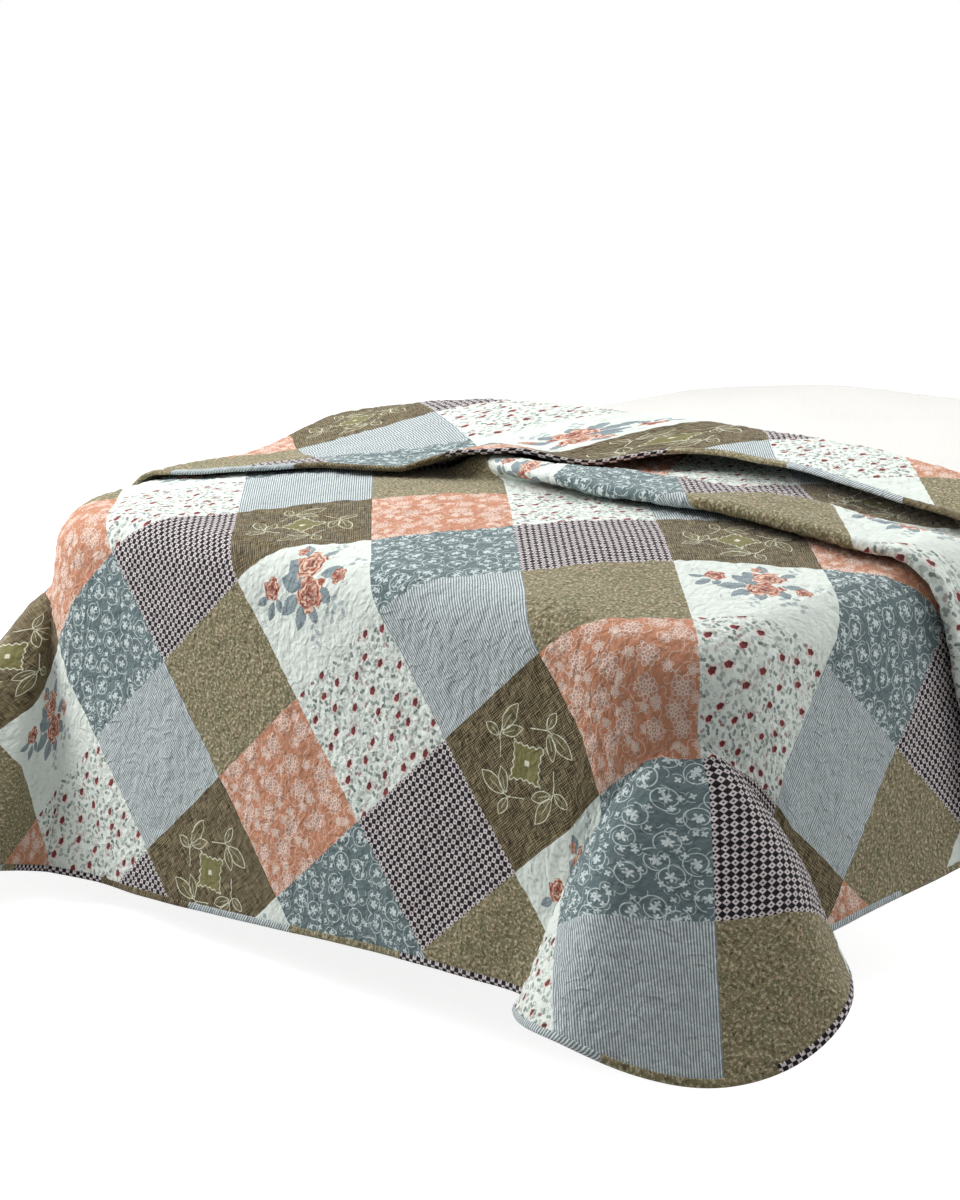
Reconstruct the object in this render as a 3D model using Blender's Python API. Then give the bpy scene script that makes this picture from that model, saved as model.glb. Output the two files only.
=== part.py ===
"""A patchwork quilt draped over a plain bed, with its head end pleated and folded back.

Metres, +Z up. X runs across the bed, to the right as seen from the foot, and Y runs from foot to head.
The cloth is worked out from its flat cut: a point (across, along) of the cut is first laid on the bed
through the folds at the head end, and then bent down over the foot, the sides and the two corners.
"""

import math

import bmesh
import bpy
import numpy as np
from mathutils import Vector

# The cut of the quilt, flat, with its binding.
QUILT_WIDTH = 2.370
QUILT_LENGTH = 2.040
QUILT_THICK = 0.006
FOOT_DROP = 0.555
CORNER_ROUND_ACROSS = 0.50
CORNER_ROUND_ALONG = 0.38
HEM_SKEW = 0.052
SKEW_WIDE = 0.5
SKEW_FADE = 0.5
HEM_ROOM = 0.06
BINDING_WIDTH = 0.012
BINDING_THICK = 0.009
REST_GAP = 0.0003
SEAM_GAP = 0.0015

# The mattress and what it stands on.
BED_HALF_WIDTH = 0.750
BED_LENGTH = 2.000
BED_HEIGHT = 0.700
MATTRESS_THICK = 0.270
MATTRESS_PLAN_RADIUS = 0.18
MATTRESS_EDGE_RADIUS = 0.065
MATTRESS_UNDER_RADIUS = 0.03
MATTRESS_LEAST_RADIUS = 0.02
MATTRESS_MORE_WIDE = 0.08
MATTRESS_MORE_DEEP = 0.003
MATTRESS_EDGE_STEPS = 5
MATTRESS_TOP_INSETS = (0.10, 0.15, 0.20, 0.26, 0.32, 0.38, 0.44, 0.48)
EDGE_CLEAR = 0.009
DECK_THICK = 0.050
DECK_INSET = 0.025
PLINTH_INSET = 0.400

# How the cloth lies: the soft crown of the top, and how far the drapes lean out.
EDGE_SAG = 0.038
SAG_WIDTH = 0.400
FOOT_LEAN = math.radians(9.0)
SIDE_LEAN = math.radians(8.0)
FLUTE_EASE = 0.11
FLUTE_NARROW = 0.30
NARROW_START = 0.10
NARROW_FALL = 0.35
CORNER_SLUMP = 0.026
SLUMP_REACH = 0.17
NUDGE = 0.001

# One row for each fold line down a foot corner, from the foot side round to the side of the bed.
# It says how far a metre of cloth there reaches out along the corner's diagonal and to its side.
FLUTE = (
    {"angle": -82, "out": None, "aside": None},
    {"angle": -71, "out": -0.22, "aside": -0.4},
    {"angle": -63, "out": -0.095, "aside": -0.355},
    {"angle": -56, "out": 0.03, "aside": -0.365},
    {"angle": -48, "out": 0.155, "aside": -0.415},
    {"angle": -38, "out": 0.31, "aside": -0.46},
    {"angle": -25, "out": 0.51, "aside": -0.41},
    {"angle": -12, "out": 0.59, "aside": -0.205},
    {"angle": 0, "out": 0.6, "aside": 0.0},
    {"angle": 12, "out": 0.59, "aside": 0.205},
    {"angle": 25, "out": 0.51, "aside": 0.41},
    {"angle": 38, "out": 0.31, "aside": 0.46},
    {"angle": 48, "out": 0.155, "aside": 0.415},
    {"angle": 56, "out": 0.03, "aside": 0.365},
    {"angle": 63, "out": -0.095, "aside": 0.355},
    {"angle": 71, "out": -0.22, "aside": 0.4},
    {"angle": 82, "out": None, "aside": None},
)

# One row for each place across the bed: where the back fold and the pleat's front edge lie,
# how deep the pleat is tucked under, and how far the cloth turns over in it.
LAY = (
    {"across": -1.19, "fold": 0.84, "loft": 0.028, "pleat": 0.50, "tuck": 0.01, "turn": 0},
    {"across": -0.55, "fold": 0.87, "loft": 0.036, "pleat": 0.50, "tuck": 0.01, "turn": 0},
    {"across": -0.24, "fold": 0.94, "loft": 0.036, "pleat": 0.50, "tuck": 0.01, "turn": 0},
    {"across": -0.14, "fold": 0.97, "loft": 0.034, "pleat": 0.50, "tuck": 0.01, "turn": 70},
    {"across": -0.04, "fold": 1.00, "loft": 0.032, "pleat": 0.50, "tuck": 0.03, "turn": 145},
    {"across": 0.08, "fold": 1.02, "loft": 0.030, "pleat": 0.50, "tuck": 0.08, "turn": 174},
    {"across": 0.26, "fold": 1.02, "loft": 0.028, "pleat": 0.505, "tuck": 0.09, "turn": 178},
    {"across": 0.47, "fold": 1.01, "loft": 0.026, "pleat": 0.525, "tuck": 0.09, "turn": 178},
    {"across": 0.66, "fold": 1.01, "loft": 0.025, "pleat": 0.555, "tuck": 0.09, "turn": 178},
    {"across": 0.91, "fold": 1.01, "loft": 0.022, "pleat": 0.610, "tuck": 0.07, "turn": 178},
    {"across": 1.19, "fold": 1.02, "loft": 0.020, "pleat": 0.660, "tuck": 0.05, "turn": 178},
)
PLEAT_RADIUS = 0.010
PLEAT_HEIGHT = 0.034
FLAP_REST = 0.016
PLEAT_SETTLE = 0.15
FLAP_SETTLE = 0.34

# How many cells each stretch of the cut has.
ACROSS_TOP = 16
ACROSS_EDGE = 6
ACROSS_DROP = 9
EDGE_PAST = 0.03
DROP_CELLS = 9
FOOT_EDGE_CELLS = 9
TOP_CELLS = 6
PLEAT_BEND_CELLS = 5
TUCK_CELLS = 1
SETTLE_CELLS = 5
FOLD_CELLS = 7
FLAP_CELLS = 7
STEP = 0.001
THREAD_DIGITS = 4

COLOURS = {
    "quilt": (0.42, 0.40, 0.33, 1.0),
    "binding": (0.20, 0.17, 0.12, 1.0),
    "mattress": (0.80, 0.79, 0.76, 1.0),
    "bed_base": (0.62, 0.60, 0.57, 1.0),
}


def eased(share):
    """A smooth step from 0 to 1."""
    share = np.clip(share, 0.0, 1.0)
    return share * share * (3.0 - 2.0 * share)


def through(places, values, at):
    """A smooth curve through the rows of a table, read at the places asked for."""
    places, values = np.asarray(places, float), np.asarray(values, float)
    at = np.clip(at, places[0], places[-1])
    row = np.clip(np.searchsorted(places, at, side="right") - 1, 0, len(places) - 2)
    gaps = np.diff(places)
    slopes = np.diff(values) / gaps
    lean = np.concatenate((
        slopes[:1],
        (slopes[:-1] * gaps[1:] + slopes[1:] * gaps[:-1]) / (gaps[:-1] + gaps[1:]),
        slopes[-1:],
    ))
    gap = gaps[row]
    t = (at - places[row]) / gap
    return (
        (2 * t**3 - 3 * t**2 + 1) * values[row]
        + (t**3 - 2 * t**2 + t) * gap * lean[row]
        + (3 * t**2 - 2 * t**3) * values[row + 1]
        + (t**3 - t**2) * gap * lean[row + 1]
    )


def straight_fall(angle, lean):
    """How far out and aside a plain drape leans, at an angle from the corner's diagonal."""
    side = np.sign(angle)
    past = np.clip(np.abs(angle) - math.pi / 4, 0.0, None)
    near = past <= 0.0
    half = math.sqrt(0.5)
    out = half * (np.cos(past) * np.sin(lean) - np.sin(past))
    aside = side * half * (np.cos(past) * np.sin(lean) + np.sin(past))
    out = np.where(near, np.sin(lean) * np.cos(angle), out)
    aside = np.where(near, np.sin(lean) * np.sin(angle), aside)
    return out, aside


def flute_row(row):
    """One fold line's lean, taken from the plain drape where the table leaves it open."""
    if row["out"] is not None:
        return row["out"], row["aside"]
    lean = FOOT_LEAN if row["angle"] < 0 else SIDE_LEAN
    out, aside = straight_fall(np.array(math.radians(row["angle"])), lean)
    return float(out), float(aside)


def crown(across, along):
    """How far the top of the bed lies below its middle, near the foot and the sides."""
    to_side = eased(1.0 - (BED_HALF_WIDTH - np.minimum(np.abs(across), BED_HALF_WIDTH)) / SAG_WIDTH)
    to_foot = eased(1.0 - np.clip(along, 0.0, None) / SAG_WIDTH)
    return EDGE_SAG * (1.0 - (1.0 - to_side) * (1.0 - to_foot))


def slump(x, y):
    """How far the cloth over a foot corner sinks with the mattress's soft corner."""
    away = np.hypot(BED_HALF_WIDTH - x, y)
    return CORNER_SLUMP * np.exp(-((away / SLUMP_REACH) ** 2))


def laid(across, along):
    """Where the cloth lies that is cut at (across, along), along being 0 at the foot edge."""
    side, reach = np.sign(across), np.abs(across)
    flat_half, flat_foot = BED_HALF_WIDTH - MATTRESS_PLAN_RADIUS, MATTRESS_PLAN_RADIUS
    past_side = np.clip(reach - flat_half, 0.0, None)
    past_foot = np.clip(flat_foot - along, 0.0, None)
    past = np.hypot(past_side, past_foot) + 1e-9
    to_side, to_foot = past_side / past, past_foot / past
    lean = SIDE_LEAN * to_side**2 + FOOT_LEAN * to_foot**2
    level = MATTRESS_PLAN_RADIUS - MATTRESS_EDGE_RADIUS
    turned = np.clip((past - level) / MATTRESS_EDGE_RADIUS, 0.0, math.pi / 2 - lean)
    fall = np.clip(past - level - MATTRESS_EDGE_RADIUS * (math.pi / 2 - lean), 0.0, None)
    out = np.minimum(past, level) + MATTRESS_EDGE_RADIUS * np.sin(turned) + fall * np.sin(lean)
    down = MATTRESS_EDGE_RADIUS * (1.0 - np.cos(turned)) + fall * np.cos(lean)
    x = np.minimum(reach, flat_half) + out * to_side
    y = np.maximum(along, flat_foot) - out * to_foot
    z = -down - crown(across, along) - slump(x, y)
    angle = np.arctan2(reach - BED_HALF_WIDTH, -along) - math.pi / 4
    angle = np.where(fall > 0.0, angle, 0.0)
    degrees = np.degrees(angle)
    rows = [row["angle"] for row in FLUTE]
    leans = [flute_row(row) for row in FLUTE]
    plain_out, plain_aside = straight_fall(angle, lean)
    inside = (degrees > rows[0]) & (degrees < rows[-1])
    flute_out = np.where(inside, through(rows, [row[0] for row in leans], degrees), plain_out)
    flute_aside = np.where(inside, through(rows, [row[1] for row in leans], degrees), plain_aside)
    eased_fall = fall**3 / (fall**2 + FLUTE_EASE**2)
    more_out = eased_fall * (flute_out - plain_out) * math.sqrt(0.5)
    kept = 1.0 - FLUTE_NARROW * eased((fall - NARROW_START) / NARROW_FALL)
    more_aside = eased_fall * (flute_aside - plain_aside) * kept * math.sqrt(0.5)
    plain_drop = np.sqrt(np.clip(1.0 - plain_out**2 - plain_aside**2, 0.0, 1.0))
    flute_drop = np.sqrt(np.clip(1.0 - flute_out**2 - flute_aside**2, 0.0, 1.0))
    x = side * (x + more_out + more_aside)
    y = y - more_out + more_aside
    z = z - eased_fall * (flute_drop - plain_drop)
    return np.stack((x, y, z), -1)


def layered(across, along, height):
    """A point of the laid cloth, raised off the bed by height, square to the surface there."""
    here = laid(across, along)
    right = laid(across + NUDGE, along) - laid(across - NUDGE, along)
    ahead = laid(across, along + NUDGE) - laid(across, along - NUDGE)
    up = np.cross(right, ahead)
    up /= np.linalg.norm(up, axis=-1, keepdims=True)
    return here + up * np.asarray(height)[..., None]


def lay_at(across, name):
    """One column of the lay table, read at a place across the bed."""
    return float(through([row["across"] for row in LAY], [row[name] for row in LAY], across))


class Lay:
    """The path of one lengthwise thread of the quilt: along the bed, into the pleat, and back in the flap."""

    def __init__(self, across):
        turn = math.radians(max(lay_at(across, "turn"), 0.0))
        tuck = lay_at(across, "tuck")
        bend = PLEAT_RADIUS * math.pi
        pleat_start = FOOT_DROP + lay_at(across, "pleat") + (tuck + PLEAT_RADIUS) * math.sin(turn / 2)
        first_end = pleat_start + bend
        second_start = first_end + tuck
        second_end = second_start + bend
        length = np.arange(-HEM_ROOM, QUILT_LENGTH + STEP, STEP)
        turned = turn * (eased((length - pleat_start) / bend) - eased((length - second_start) / bend))
        ahead = np.concatenate(((0.0,), np.cumsum(np.cos(turned[1:]) * STEP))) - FOOT_DROP - HEM_ROOM
        height = np.concatenate(((0.0,), np.cumsum(np.sin(turned[1:]) * STEP)))
        height *= min(1.0, PLEAT_HEIGHT / max(height.max(), PLEAT_HEIGHT))
        height *= 1.0 - eased((length - second_end - tuck - PLEAT_RADIUS) / PLEAT_SETTLE)
        loft = lay_at(across, "loft")
        fold_at = lay_at(across, "fold") - loft
        past_pleat = length >= second_end
        fold_start = float(np.interp(fold_at, ahead[past_pleat], length[past_pleat]))
        round_fold = np.clip((length - fold_start) / loft, 0.0, math.pi)
        back = np.clip(length - fold_start - loft * math.pi, 0.0, None)
        folded = length > fold_start
        under = past_pleat & ~folded
        ahead_under, height_under = ahead[under], height[under]
        ahead = np.where(folded, fold_at + loft * np.sin(round_fold) - back, ahead)
        rest = 2 * loft - (2 * loft - FLAP_REST) * eased(back / FLAP_SETTLE)
        rest += np.interp(ahead, ahead_under, height_under)
        height = np.where(folded, loft * (1.0 - np.cos(round_fold)), height)
        height = np.where(back > 0.0, rest, height)
        self.length, self.ahead, self.height = length, ahead, height
        self.stretches = (
            (0.0, CORNER_ROUND_ALONG, DROP_CELLS),
            (CORNER_ROUND_ALONG, FOOT_DROP + MATTRESS_PLAN_RADIUS, FOOT_EDGE_CELLS),
            (FOOT_DROP + MATTRESS_PLAN_RADIUS, pleat_start, TOP_CELLS),
            (pleat_start, first_end, PLEAT_BEND_CELLS),
            (first_end, second_start, TUCK_CELLS),
            (second_start, second_end, PLEAT_BEND_CELLS),
            (second_end, fold_start, SETTLE_CELLS),
            (fold_start, fold_start + loft * math.pi, FOLD_CELLS),
            (fold_start + loft * math.pi, QUILT_LENGTH, FLAP_CELLS),
        )

    def stations(self):
        """The places along this thread that the mesh has a row at."""
        rows = [0.0]
        for first, last, cells in self.stretches:
            rows.extend(first + (last - first) * (step + 1) / cells for step in range(cells))
        return np.array(rows)

    def at(self, length):
        """How far along the bed, and how high above it, the thread is after this length."""
        return np.interp(length, self.length, self.ahead), np.interp(length, self.length, self.height)


def across_stations():
    """The places across the cut that the mesh has a column at, from left to right."""
    edge_in, edge_out = BED_HALF_WIDTH - MATTRESS_PLAN_RADIUS, BED_HALF_WIDTH + EDGE_PAST
    top = np.linspace(-edge_in, edge_in, ACROSS_TOP + 1)
    edge = np.linspace(edge_in, edge_out, ACROSS_EDGE + 1)[1:]
    drop = np.linspace(edge_out, QUILT_WIDTH / 2, ACROSS_DROP + 1)[1:]
    right = np.concatenate((edge, drop))
    return np.concatenate((-right[::-1], top, right))


def cut_point(across, along, inset):
    """A point of the square grid, moved into the cut with its two rounded foot corners."""
    half, round_x, round_y = QUILT_WIDTH / 2, CORNER_ROUND_ACROSS, CORNER_ROUND_ALONG
    p = max(abs(across) - (half - round_x), 0.0) / round_x
    q = max(round_y - along, 0.0) / round_y
    new_p = p * math.sqrt(1.0 - q * q / 2)
    new_q = q * math.sqrt(1.0 - p * p / 2)
    if p > 0.0:
        across = math.copysign(half - round_x + new_p * (round_x - inset), across)
    if q > 0.0:
        along = round_y - new_q * (round_y - inset)
    elif along > round_y:
        along = round_y + (along - round_y) * (QUILT_LENGTH - inset - round_y) / (QUILT_LENGTH - round_y)
    return across, along


def askew(across, along):
    """How far the foot hem strays from square: longer at the left, fading out along the quilt."""
    return HEM_SKEW * np.tanh(across / SKEW_WIDE) * (1.0 - eased(along / SKEW_FADE))


def grid_of_cut(inset):
    """The points of the cut that the mesh is drawn through, inset from its edge."""
    grid = np.array([
        [cut_point(across, along, inset) for along in Lay(across).stations()]
        for across in across_stations()
    ])
    grid[..., 1] += askew(grid[..., 0], grid[..., 1])
    return grid


def mid_surface(cut):
    """The middle of the cloth at points of the cut, above the mattress by half its thickness."""
    ahead, height = np.empty(cut.shape[:2]), np.empty(cut.shape[:2])
    threads = {}
    for i in range(cut.shape[0]):
        for j in range(cut.shape[1]):
            across = round(float(cut[i, j, 0]), THREAD_DIGITS)
            if across not in threads:
                threads[across] = Lay(across)
            ahead[i, j], height[i, j] = threads[across].at(cut[i, j, 1])
    return layered(cut[..., 0], ahead, height + QUILT_THICK / 2 + REST_GAP)


def square_to(cut):
    """The direction out of the cloth's face at points of the cut."""
    left, right = cut.copy(), cut.copy()
    left[..., 0] -= 2 * NUDGE
    right[..., 0] += 2 * NUDGE
    below, above = cut.copy(), cut.copy()
    below[..., 1] -= 2 * NUDGE
    above[..., 1] += 2 * NUDGE
    up = np.cross(mid_surface(right) - mid_surface(left), mid_surface(above) - mid_surface(below))
    return up / np.linalg.norm(up, axis=-1, keepdims=True)


def new_object(name, mesh_data, smooth=True):
    """A named object of its own material, raised so that the bed stands on the floor."""
    mesh = bpy.data.meshes.new(name)
    mesh_data.to_mesh(mesh)
    mesh_data.free()
    if smooth:
        mesh.shade_smooth()
    material = bpy.data.materials.new(name)
    material.use_nodes = True
    shader = material.node_tree.nodes["Principled BSDF"]
    shader.inputs["Base Color"].default_value = COLOURS[name]
    shader.inputs["Roughness"].default_value = 0.9
    shader.inputs["Metallic"].default_value = 0.0
    mesh.materials.append(material)
    item = bpy.data.objects.new(name, mesh)
    bpy.context.scene.collection.objects.link(item)
    return item


def placed(point):
    """A point of the bed's own frame, in the part's frame."""
    return Vector((point[0], point[1] + OFFSET_ALONG, point[2] + BED_HEIGHT))


def make_quilt():
    """The quilt's body: one sheet, its front and reverse joined round the edge."""
    cut = grid_of_cut(BINDING_WIDTH + SEAM_GAP)
    middle, up = mid_surface(cut), square_to(cut)
    shape = bmesh.new()
    faces = {}
    for name, offset in (("front", QUILT_THICK / 2), ("reverse", -QUILT_THICK / 2)):
        faces[name] = [
            [shape.verts.new(placed(middle[i, j] + up[i, j] * offset)) for j in range(cut.shape[1])]
            for i in range(cut.shape[0])
        ]
    front, reverse = faces["front"], faces["reverse"]
    last_i, last_j = cut.shape[0] - 1, cut.shape[1] - 1
    for i in range(last_i):
        for j in range(last_j):
            shape.faces.new((front[i][j], front[i + 1][j], front[i + 1][j + 1], front[i][j + 1]))
            shape.faces.new((reverse[i][j], reverse[i][j + 1], reverse[i + 1][j + 1], reverse[i + 1][j]))
    ring = edge_ring(last_i, last_j)
    for (i, j), (k, m) in zip(ring, ring[1:] + ring[:1]):
        shape.faces.new((front[i][j], reverse[i][j], reverse[k][m], front[k][m]))
    return new_object("quilt", shape)


def edge_ring(last_i, last_j):
    """The grid's rim, anticlockwise seen from the front, starting at the left end of the foot hem."""
    ring = [(i, 0) for i in range(last_i)]
    ring += [(last_i, j) for j in range(last_j)]
    ring += [(i, last_j) for i in range(last_i, 0, -1)]
    ring += [(0, j) for j in range(last_j, 0, -1)]
    return ring


def make_binding():
    """The binding: a narrow band of doubled cloth sewn round the quilt's raw edge."""
    inner_cut, outer_cut = grid_of_cut(BINDING_WIDTH), grid_of_cut(0.0)
    ring = edge_ring(inner_cut.shape[0] - 1, inner_cut.shape[1] - 1)
    shape = bmesh.new()
    half = BINDING_THICK / 2
    loops = []
    inner, outer = rim_of(inner_cut, ring), rim_of(outer_cut, ring)
    for (near, near_up), (far, far_up) in zip(inner, outer):
        corners = (
            near + near_up * half,
            far + far_up * half,
            far - far_up * half,
            near - near_up * half,
        )
        loops.append([shape.verts.new(placed(corner)) for corner in corners])
    for first, second in zip(loops, loops[1:] + loops[:1]):
        for k in range(len(first)):
            n = (k + 1) % len(first)
            shape.faces.new((first[k], first[n], second[n], second[k]))
    return new_object("binding", shape)


def rim_of(cut, ring):
    """The mid-surface and its direction at each point of the cut's rim."""
    rim = np.array([[cut[i, j] for i, j in ring]])
    middle, up = mid_surface(rim)[0], square_to(rim)[0]
    return list(zip(middle, up))


def rounded_rectangle(half_width, foot, head, radius, steps=6):
    """A closed loop of plan points with round corners, anticlockwise from the right of the foot."""
    loop = []
    centres = (
        (half_width - radius, foot + radius, -90),
        (half_width - radius, head - radius, 0),
        (radius - half_width, head - radius, 90),
        (radius - half_width, foot + radius, 180),
    )
    for x, y, start in centres:
        for step in range(steps + 1):
            angle = math.radians(start + 90 * step / steps)
            loop.append((x + radius * math.cos(angle), y + radius * math.sin(angle)))
    return loop


def loft(name, loops):
    """One closed body through a stack of loops, from the bottom one up."""
    shape = bmesh.new()
    rows = [[shape.verts.new(placed(point)) for point in loop] for loop in loops]
    for low, high in zip(rows, rows[1:]):
        for k in range(len(low)):
            n = (k + 1) % len(low)
            shape.faces.new((low[k], low[n], high[n], high[k]))
    shape.faces.new(rows[0][::-1])
    shape.faces.new(rows[-1])
    return new_object(name, shape, smooth=False)


def hollow(x, y):
    """How far the mattress top lies below its middle: the cloth's own crown and a little more."""
    wide = SAG_WIDTH + MATTRESS_MORE_WIDE
    to_side = float(eased(1.0 - (BED_HALF_WIDTH - min(abs(x), BED_HALF_WIDTH)) / wide))
    to_foot = float(eased(1.0 - max(y, 0.0) / wide))
    crowned = (EDGE_SAG + MATTRESS_MORE_DEEP) * (1.0 - (1.0 - to_side) * (1.0 - to_foot))
    return crowned + float(slump(abs(x), y))


def mattress_loop(inset, z):
    """One level line of the mattress, this far in from its widest outline."""
    half, foot, head = BED_HALF_WIDTH - EDGE_CLEAR, EDGE_CLEAR, BED_LENGTH - EDGE_CLEAR
    radius = max(MATTRESS_PLAN_RADIUS - EDGE_CLEAR - inset, MATTRESS_LEAST_RADIUS)
    outline = rounded_rectangle(half - inset, foot + inset, head - inset, radius)
    on_upper_half = z > -0.5 * MATTRESS_THICK
    return [(x, y, z - hollow(x, y) if on_upper_half else z) for x, y in outline]


def make_mattress():
    """The mattress: a plain block with soft edges, crowned as the cloth over it is."""
    edge, under = MATTRESS_EDGE_RADIUS, MATTRESS_UNDER_RADIUS
    turns = [math.pi / 2 * step / MATTRESS_EDGE_STEPS for step in range(MATTRESS_EDGE_STEPS + 1)]
    lower = [
        mattress_loop(under * (1.0 - math.sin(turn)), under * (1.0 - math.cos(turn)) - MATTRESS_THICK)
        for turn in turns
    ]
    upper = [
        mattress_loop(edge * (1.0 - math.cos(turn)), edge * (math.sin(turn) - 1.0)) for turn in turns
    ]
    top = [mattress_loop(inset, 0.0) for inset in MATTRESS_TOP_INSETS]
    return loft("mattress", lower + upper + top)


def make_base():
    """The bed base: a flat deck on a plinth that is set well back from its edges."""
    deck_top = -MATTRESS_THICK - REST_GAP
    deck_under = deck_top - DECK_THICK
    loops = []
    for inset, z in (
        (PLINTH_INSET, -BED_HEIGHT),
        (PLINTH_INSET, deck_under),
        (DECK_INSET, deck_under),
        (DECK_INSET, deck_top),
    ):
        half, foot, head = BED_HALF_WIDTH - inset, inset, BED_LENGTH - inset
        loops.append([(half, foot, z), (half, head, z), (-half, head, z), (-half, foot, z)])
    return loft("bed_base", loops)


def foot_reach():
    """The Y of the quilt's furthest point past the foot of the bed."""
    rim = grid_of_cut(0.0)
    ring = edge_ring(rim.shape[0] - 1, rim.shape[1] - 1)
    half = BINDING_THICK / 2
    return min(min((middle + up * half)[1], (middle - up * half)[1]) for middle, up in rim_of(rim, ring))


for old in list(bpy.data.objects):
    bpy.data.objects.remove(old)
OFFSET_ALONG = -(foot_reach() + BED_LENGTH - EDGE_CLEAR) / 2
make_quilt()
make_binding()
make_mattress()
make_base()
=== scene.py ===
"""A patchwork quilt on a plain bed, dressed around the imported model."""

import math

import bmesh
import bpy
import numpy as np
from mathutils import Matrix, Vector


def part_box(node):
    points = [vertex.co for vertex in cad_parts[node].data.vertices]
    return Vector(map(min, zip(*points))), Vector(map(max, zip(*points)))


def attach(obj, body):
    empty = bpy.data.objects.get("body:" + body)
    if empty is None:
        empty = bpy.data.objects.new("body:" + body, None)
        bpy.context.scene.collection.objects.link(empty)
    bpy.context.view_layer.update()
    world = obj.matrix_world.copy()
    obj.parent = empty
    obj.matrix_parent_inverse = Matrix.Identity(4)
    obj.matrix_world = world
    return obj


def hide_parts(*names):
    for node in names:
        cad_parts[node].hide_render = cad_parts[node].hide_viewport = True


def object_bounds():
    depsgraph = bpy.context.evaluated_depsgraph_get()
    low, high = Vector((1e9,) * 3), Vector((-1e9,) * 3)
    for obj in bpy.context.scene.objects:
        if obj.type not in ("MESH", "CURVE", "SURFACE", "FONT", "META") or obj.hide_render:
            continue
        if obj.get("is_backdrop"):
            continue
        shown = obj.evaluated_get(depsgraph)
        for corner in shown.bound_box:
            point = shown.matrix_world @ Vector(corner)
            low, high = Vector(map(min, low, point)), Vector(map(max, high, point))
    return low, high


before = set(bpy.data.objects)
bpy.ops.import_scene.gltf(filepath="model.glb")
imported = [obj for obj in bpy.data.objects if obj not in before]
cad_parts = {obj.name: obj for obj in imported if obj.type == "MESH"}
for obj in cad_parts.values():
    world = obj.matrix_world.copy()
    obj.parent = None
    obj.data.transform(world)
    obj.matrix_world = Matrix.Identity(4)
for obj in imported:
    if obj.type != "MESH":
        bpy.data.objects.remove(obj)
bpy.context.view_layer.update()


# The bed base: a flat deck on a plinth set well back from its edges, out of sight under the quilt.
# It is painted board, butt-jointed and screwed, with a slight brush drag in the paint. The mattress
# lies loose on it.

class Value:
    """A number that changes over a surface. Arithmetic on it adds Math nodes to its node tree."""

    def __init__(self, socket):
        self.socket = socket
        self.tree = socket.id_data

    def __add__(self, other):
        return calc("ADD", self, other)

    def __sub__(self, other):
        return calc("SUBTRACT", self, other)

    def __rsub__(self, other):
        return calc("SUBTRACT", other, self)

    def __mul__(self, other):
        return calc("MULTIPLY", self, other)

    def __truediv__(self, other):
        return calc("DIVIDE", self, other)

    def __rtruediv__(self, other):
        return calc("DIVIDE", other, self)

    def __gt__(self, other):
        return calc("GREATER_THAN", self, other)

    def __lt__(self, other):
        return calc("LESS_THAN", self, other)

    def __abs__(self):
        return calc("ABSOLUTE", self)

    __radd__ = __add__
    __rmul__ = __mul__

    def clamped(self):
        """The same number, held between 0 and 1 by the Math node that gives it."""
        self.socket.node.use_clamp = True
        return self


def put(value, socket):
    """Link a value, place or colour to a socket, or set a plain one on it."""
    if isinstance(value, Value):
        value = value.socket
    if isinstance(value, bpy.types.NodeSocket):
        socket.id_data.links.new(value, socket)
    else:
        socket.default_value = (*value, 1.0) if socket.type == "RGBA" else value


def fill(node, **settings):
    """Set a node's named settings and fill in its inputs, by name or, as i0 and so on, by number."""
    for name, value in settings.items():
        if hasattr(node, name):
            setattr(node, name, value)
        else:
            put(value, node.inputs[int(name[1:]) if name[1:].isdigit() else name.replace("_", " ")])
    return node


def add_node(tree, kind, **settings):
    """A new node of this kind, filled in."""
    return fill(tree.nodes.new(kind), **settings)


def calc(operation, *values):
    """A Math node on values and plain numbers."""
    tree = next(value.tree for value in values if isinstance(value, Value))
    node = add_node(tree, "ShaderNodeMath", operation=operation)
    for value, socket in zip(values, node.inputs):
        put(value, socket)
    return Value(node.outputs[0])


def layered(colour, *coats):
    """A colour with others laid over it in turn, each given as (share, colour)."""
    for share, coat in coats:
        mix = add_node(share.tree, "ShaderNodeMix", data_type="RGBA", i0=share, i6=colour, i7=coat)
        colour = mix.outputs[2]
    return colour


def noise(place, scale, detail=2.0, roughness=0.5, stretch=None):
    """A noise value from 0 to 1, with its place stretched if asked."""
    tree = place.id_data
    if stretch is not None:
        place = add_node(tree, "ShaderNodeMapping", Vector=place, Scale=stretch).outputs[0]
    return Value(add_node(
        tree, "ShaderNodeTexNoise", Vector=place, Scale=scale, Detail=detail, Roughness=roughness
    ).outputs[0])


def new_material(name, colour, roughness):
    """A material with one Principled shader, which is given too."""
    material = bpy.data.materials.new(name)
    material.use_nodes = True
    material.diffuse_color = (*colour, 1.0)
    shader = material.node_tree.nodes["Principled BSDF"]
    return material, fill(shader, Base_Color=colour, Roughness=roughness, Metallic=0.0)


def relief(shader, height, distance, after=None):
    """A Bump node from a height, feeding the shader's normal and standing on another if there is one."""
    bump = add_node(shader.id_data, "ShaderNodeBump", Height=height, Distance=distance)
    if after is not None:
        put(after, bump.inputs["Normal"])
    fill(shader, Normal=bump.outputs[0])
    return bump.outputs[0]


def object_place(material):
    """Where a point is, in the model's own frame."""
    return material.node_tree.nodes.new("ShaderNodeTexCoord").outputs["Object"]


PAINT_PALE = (0.62, 0.60, 0.57)
PAINT_WORN = (0.52, 0.50, 0.47)

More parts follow.
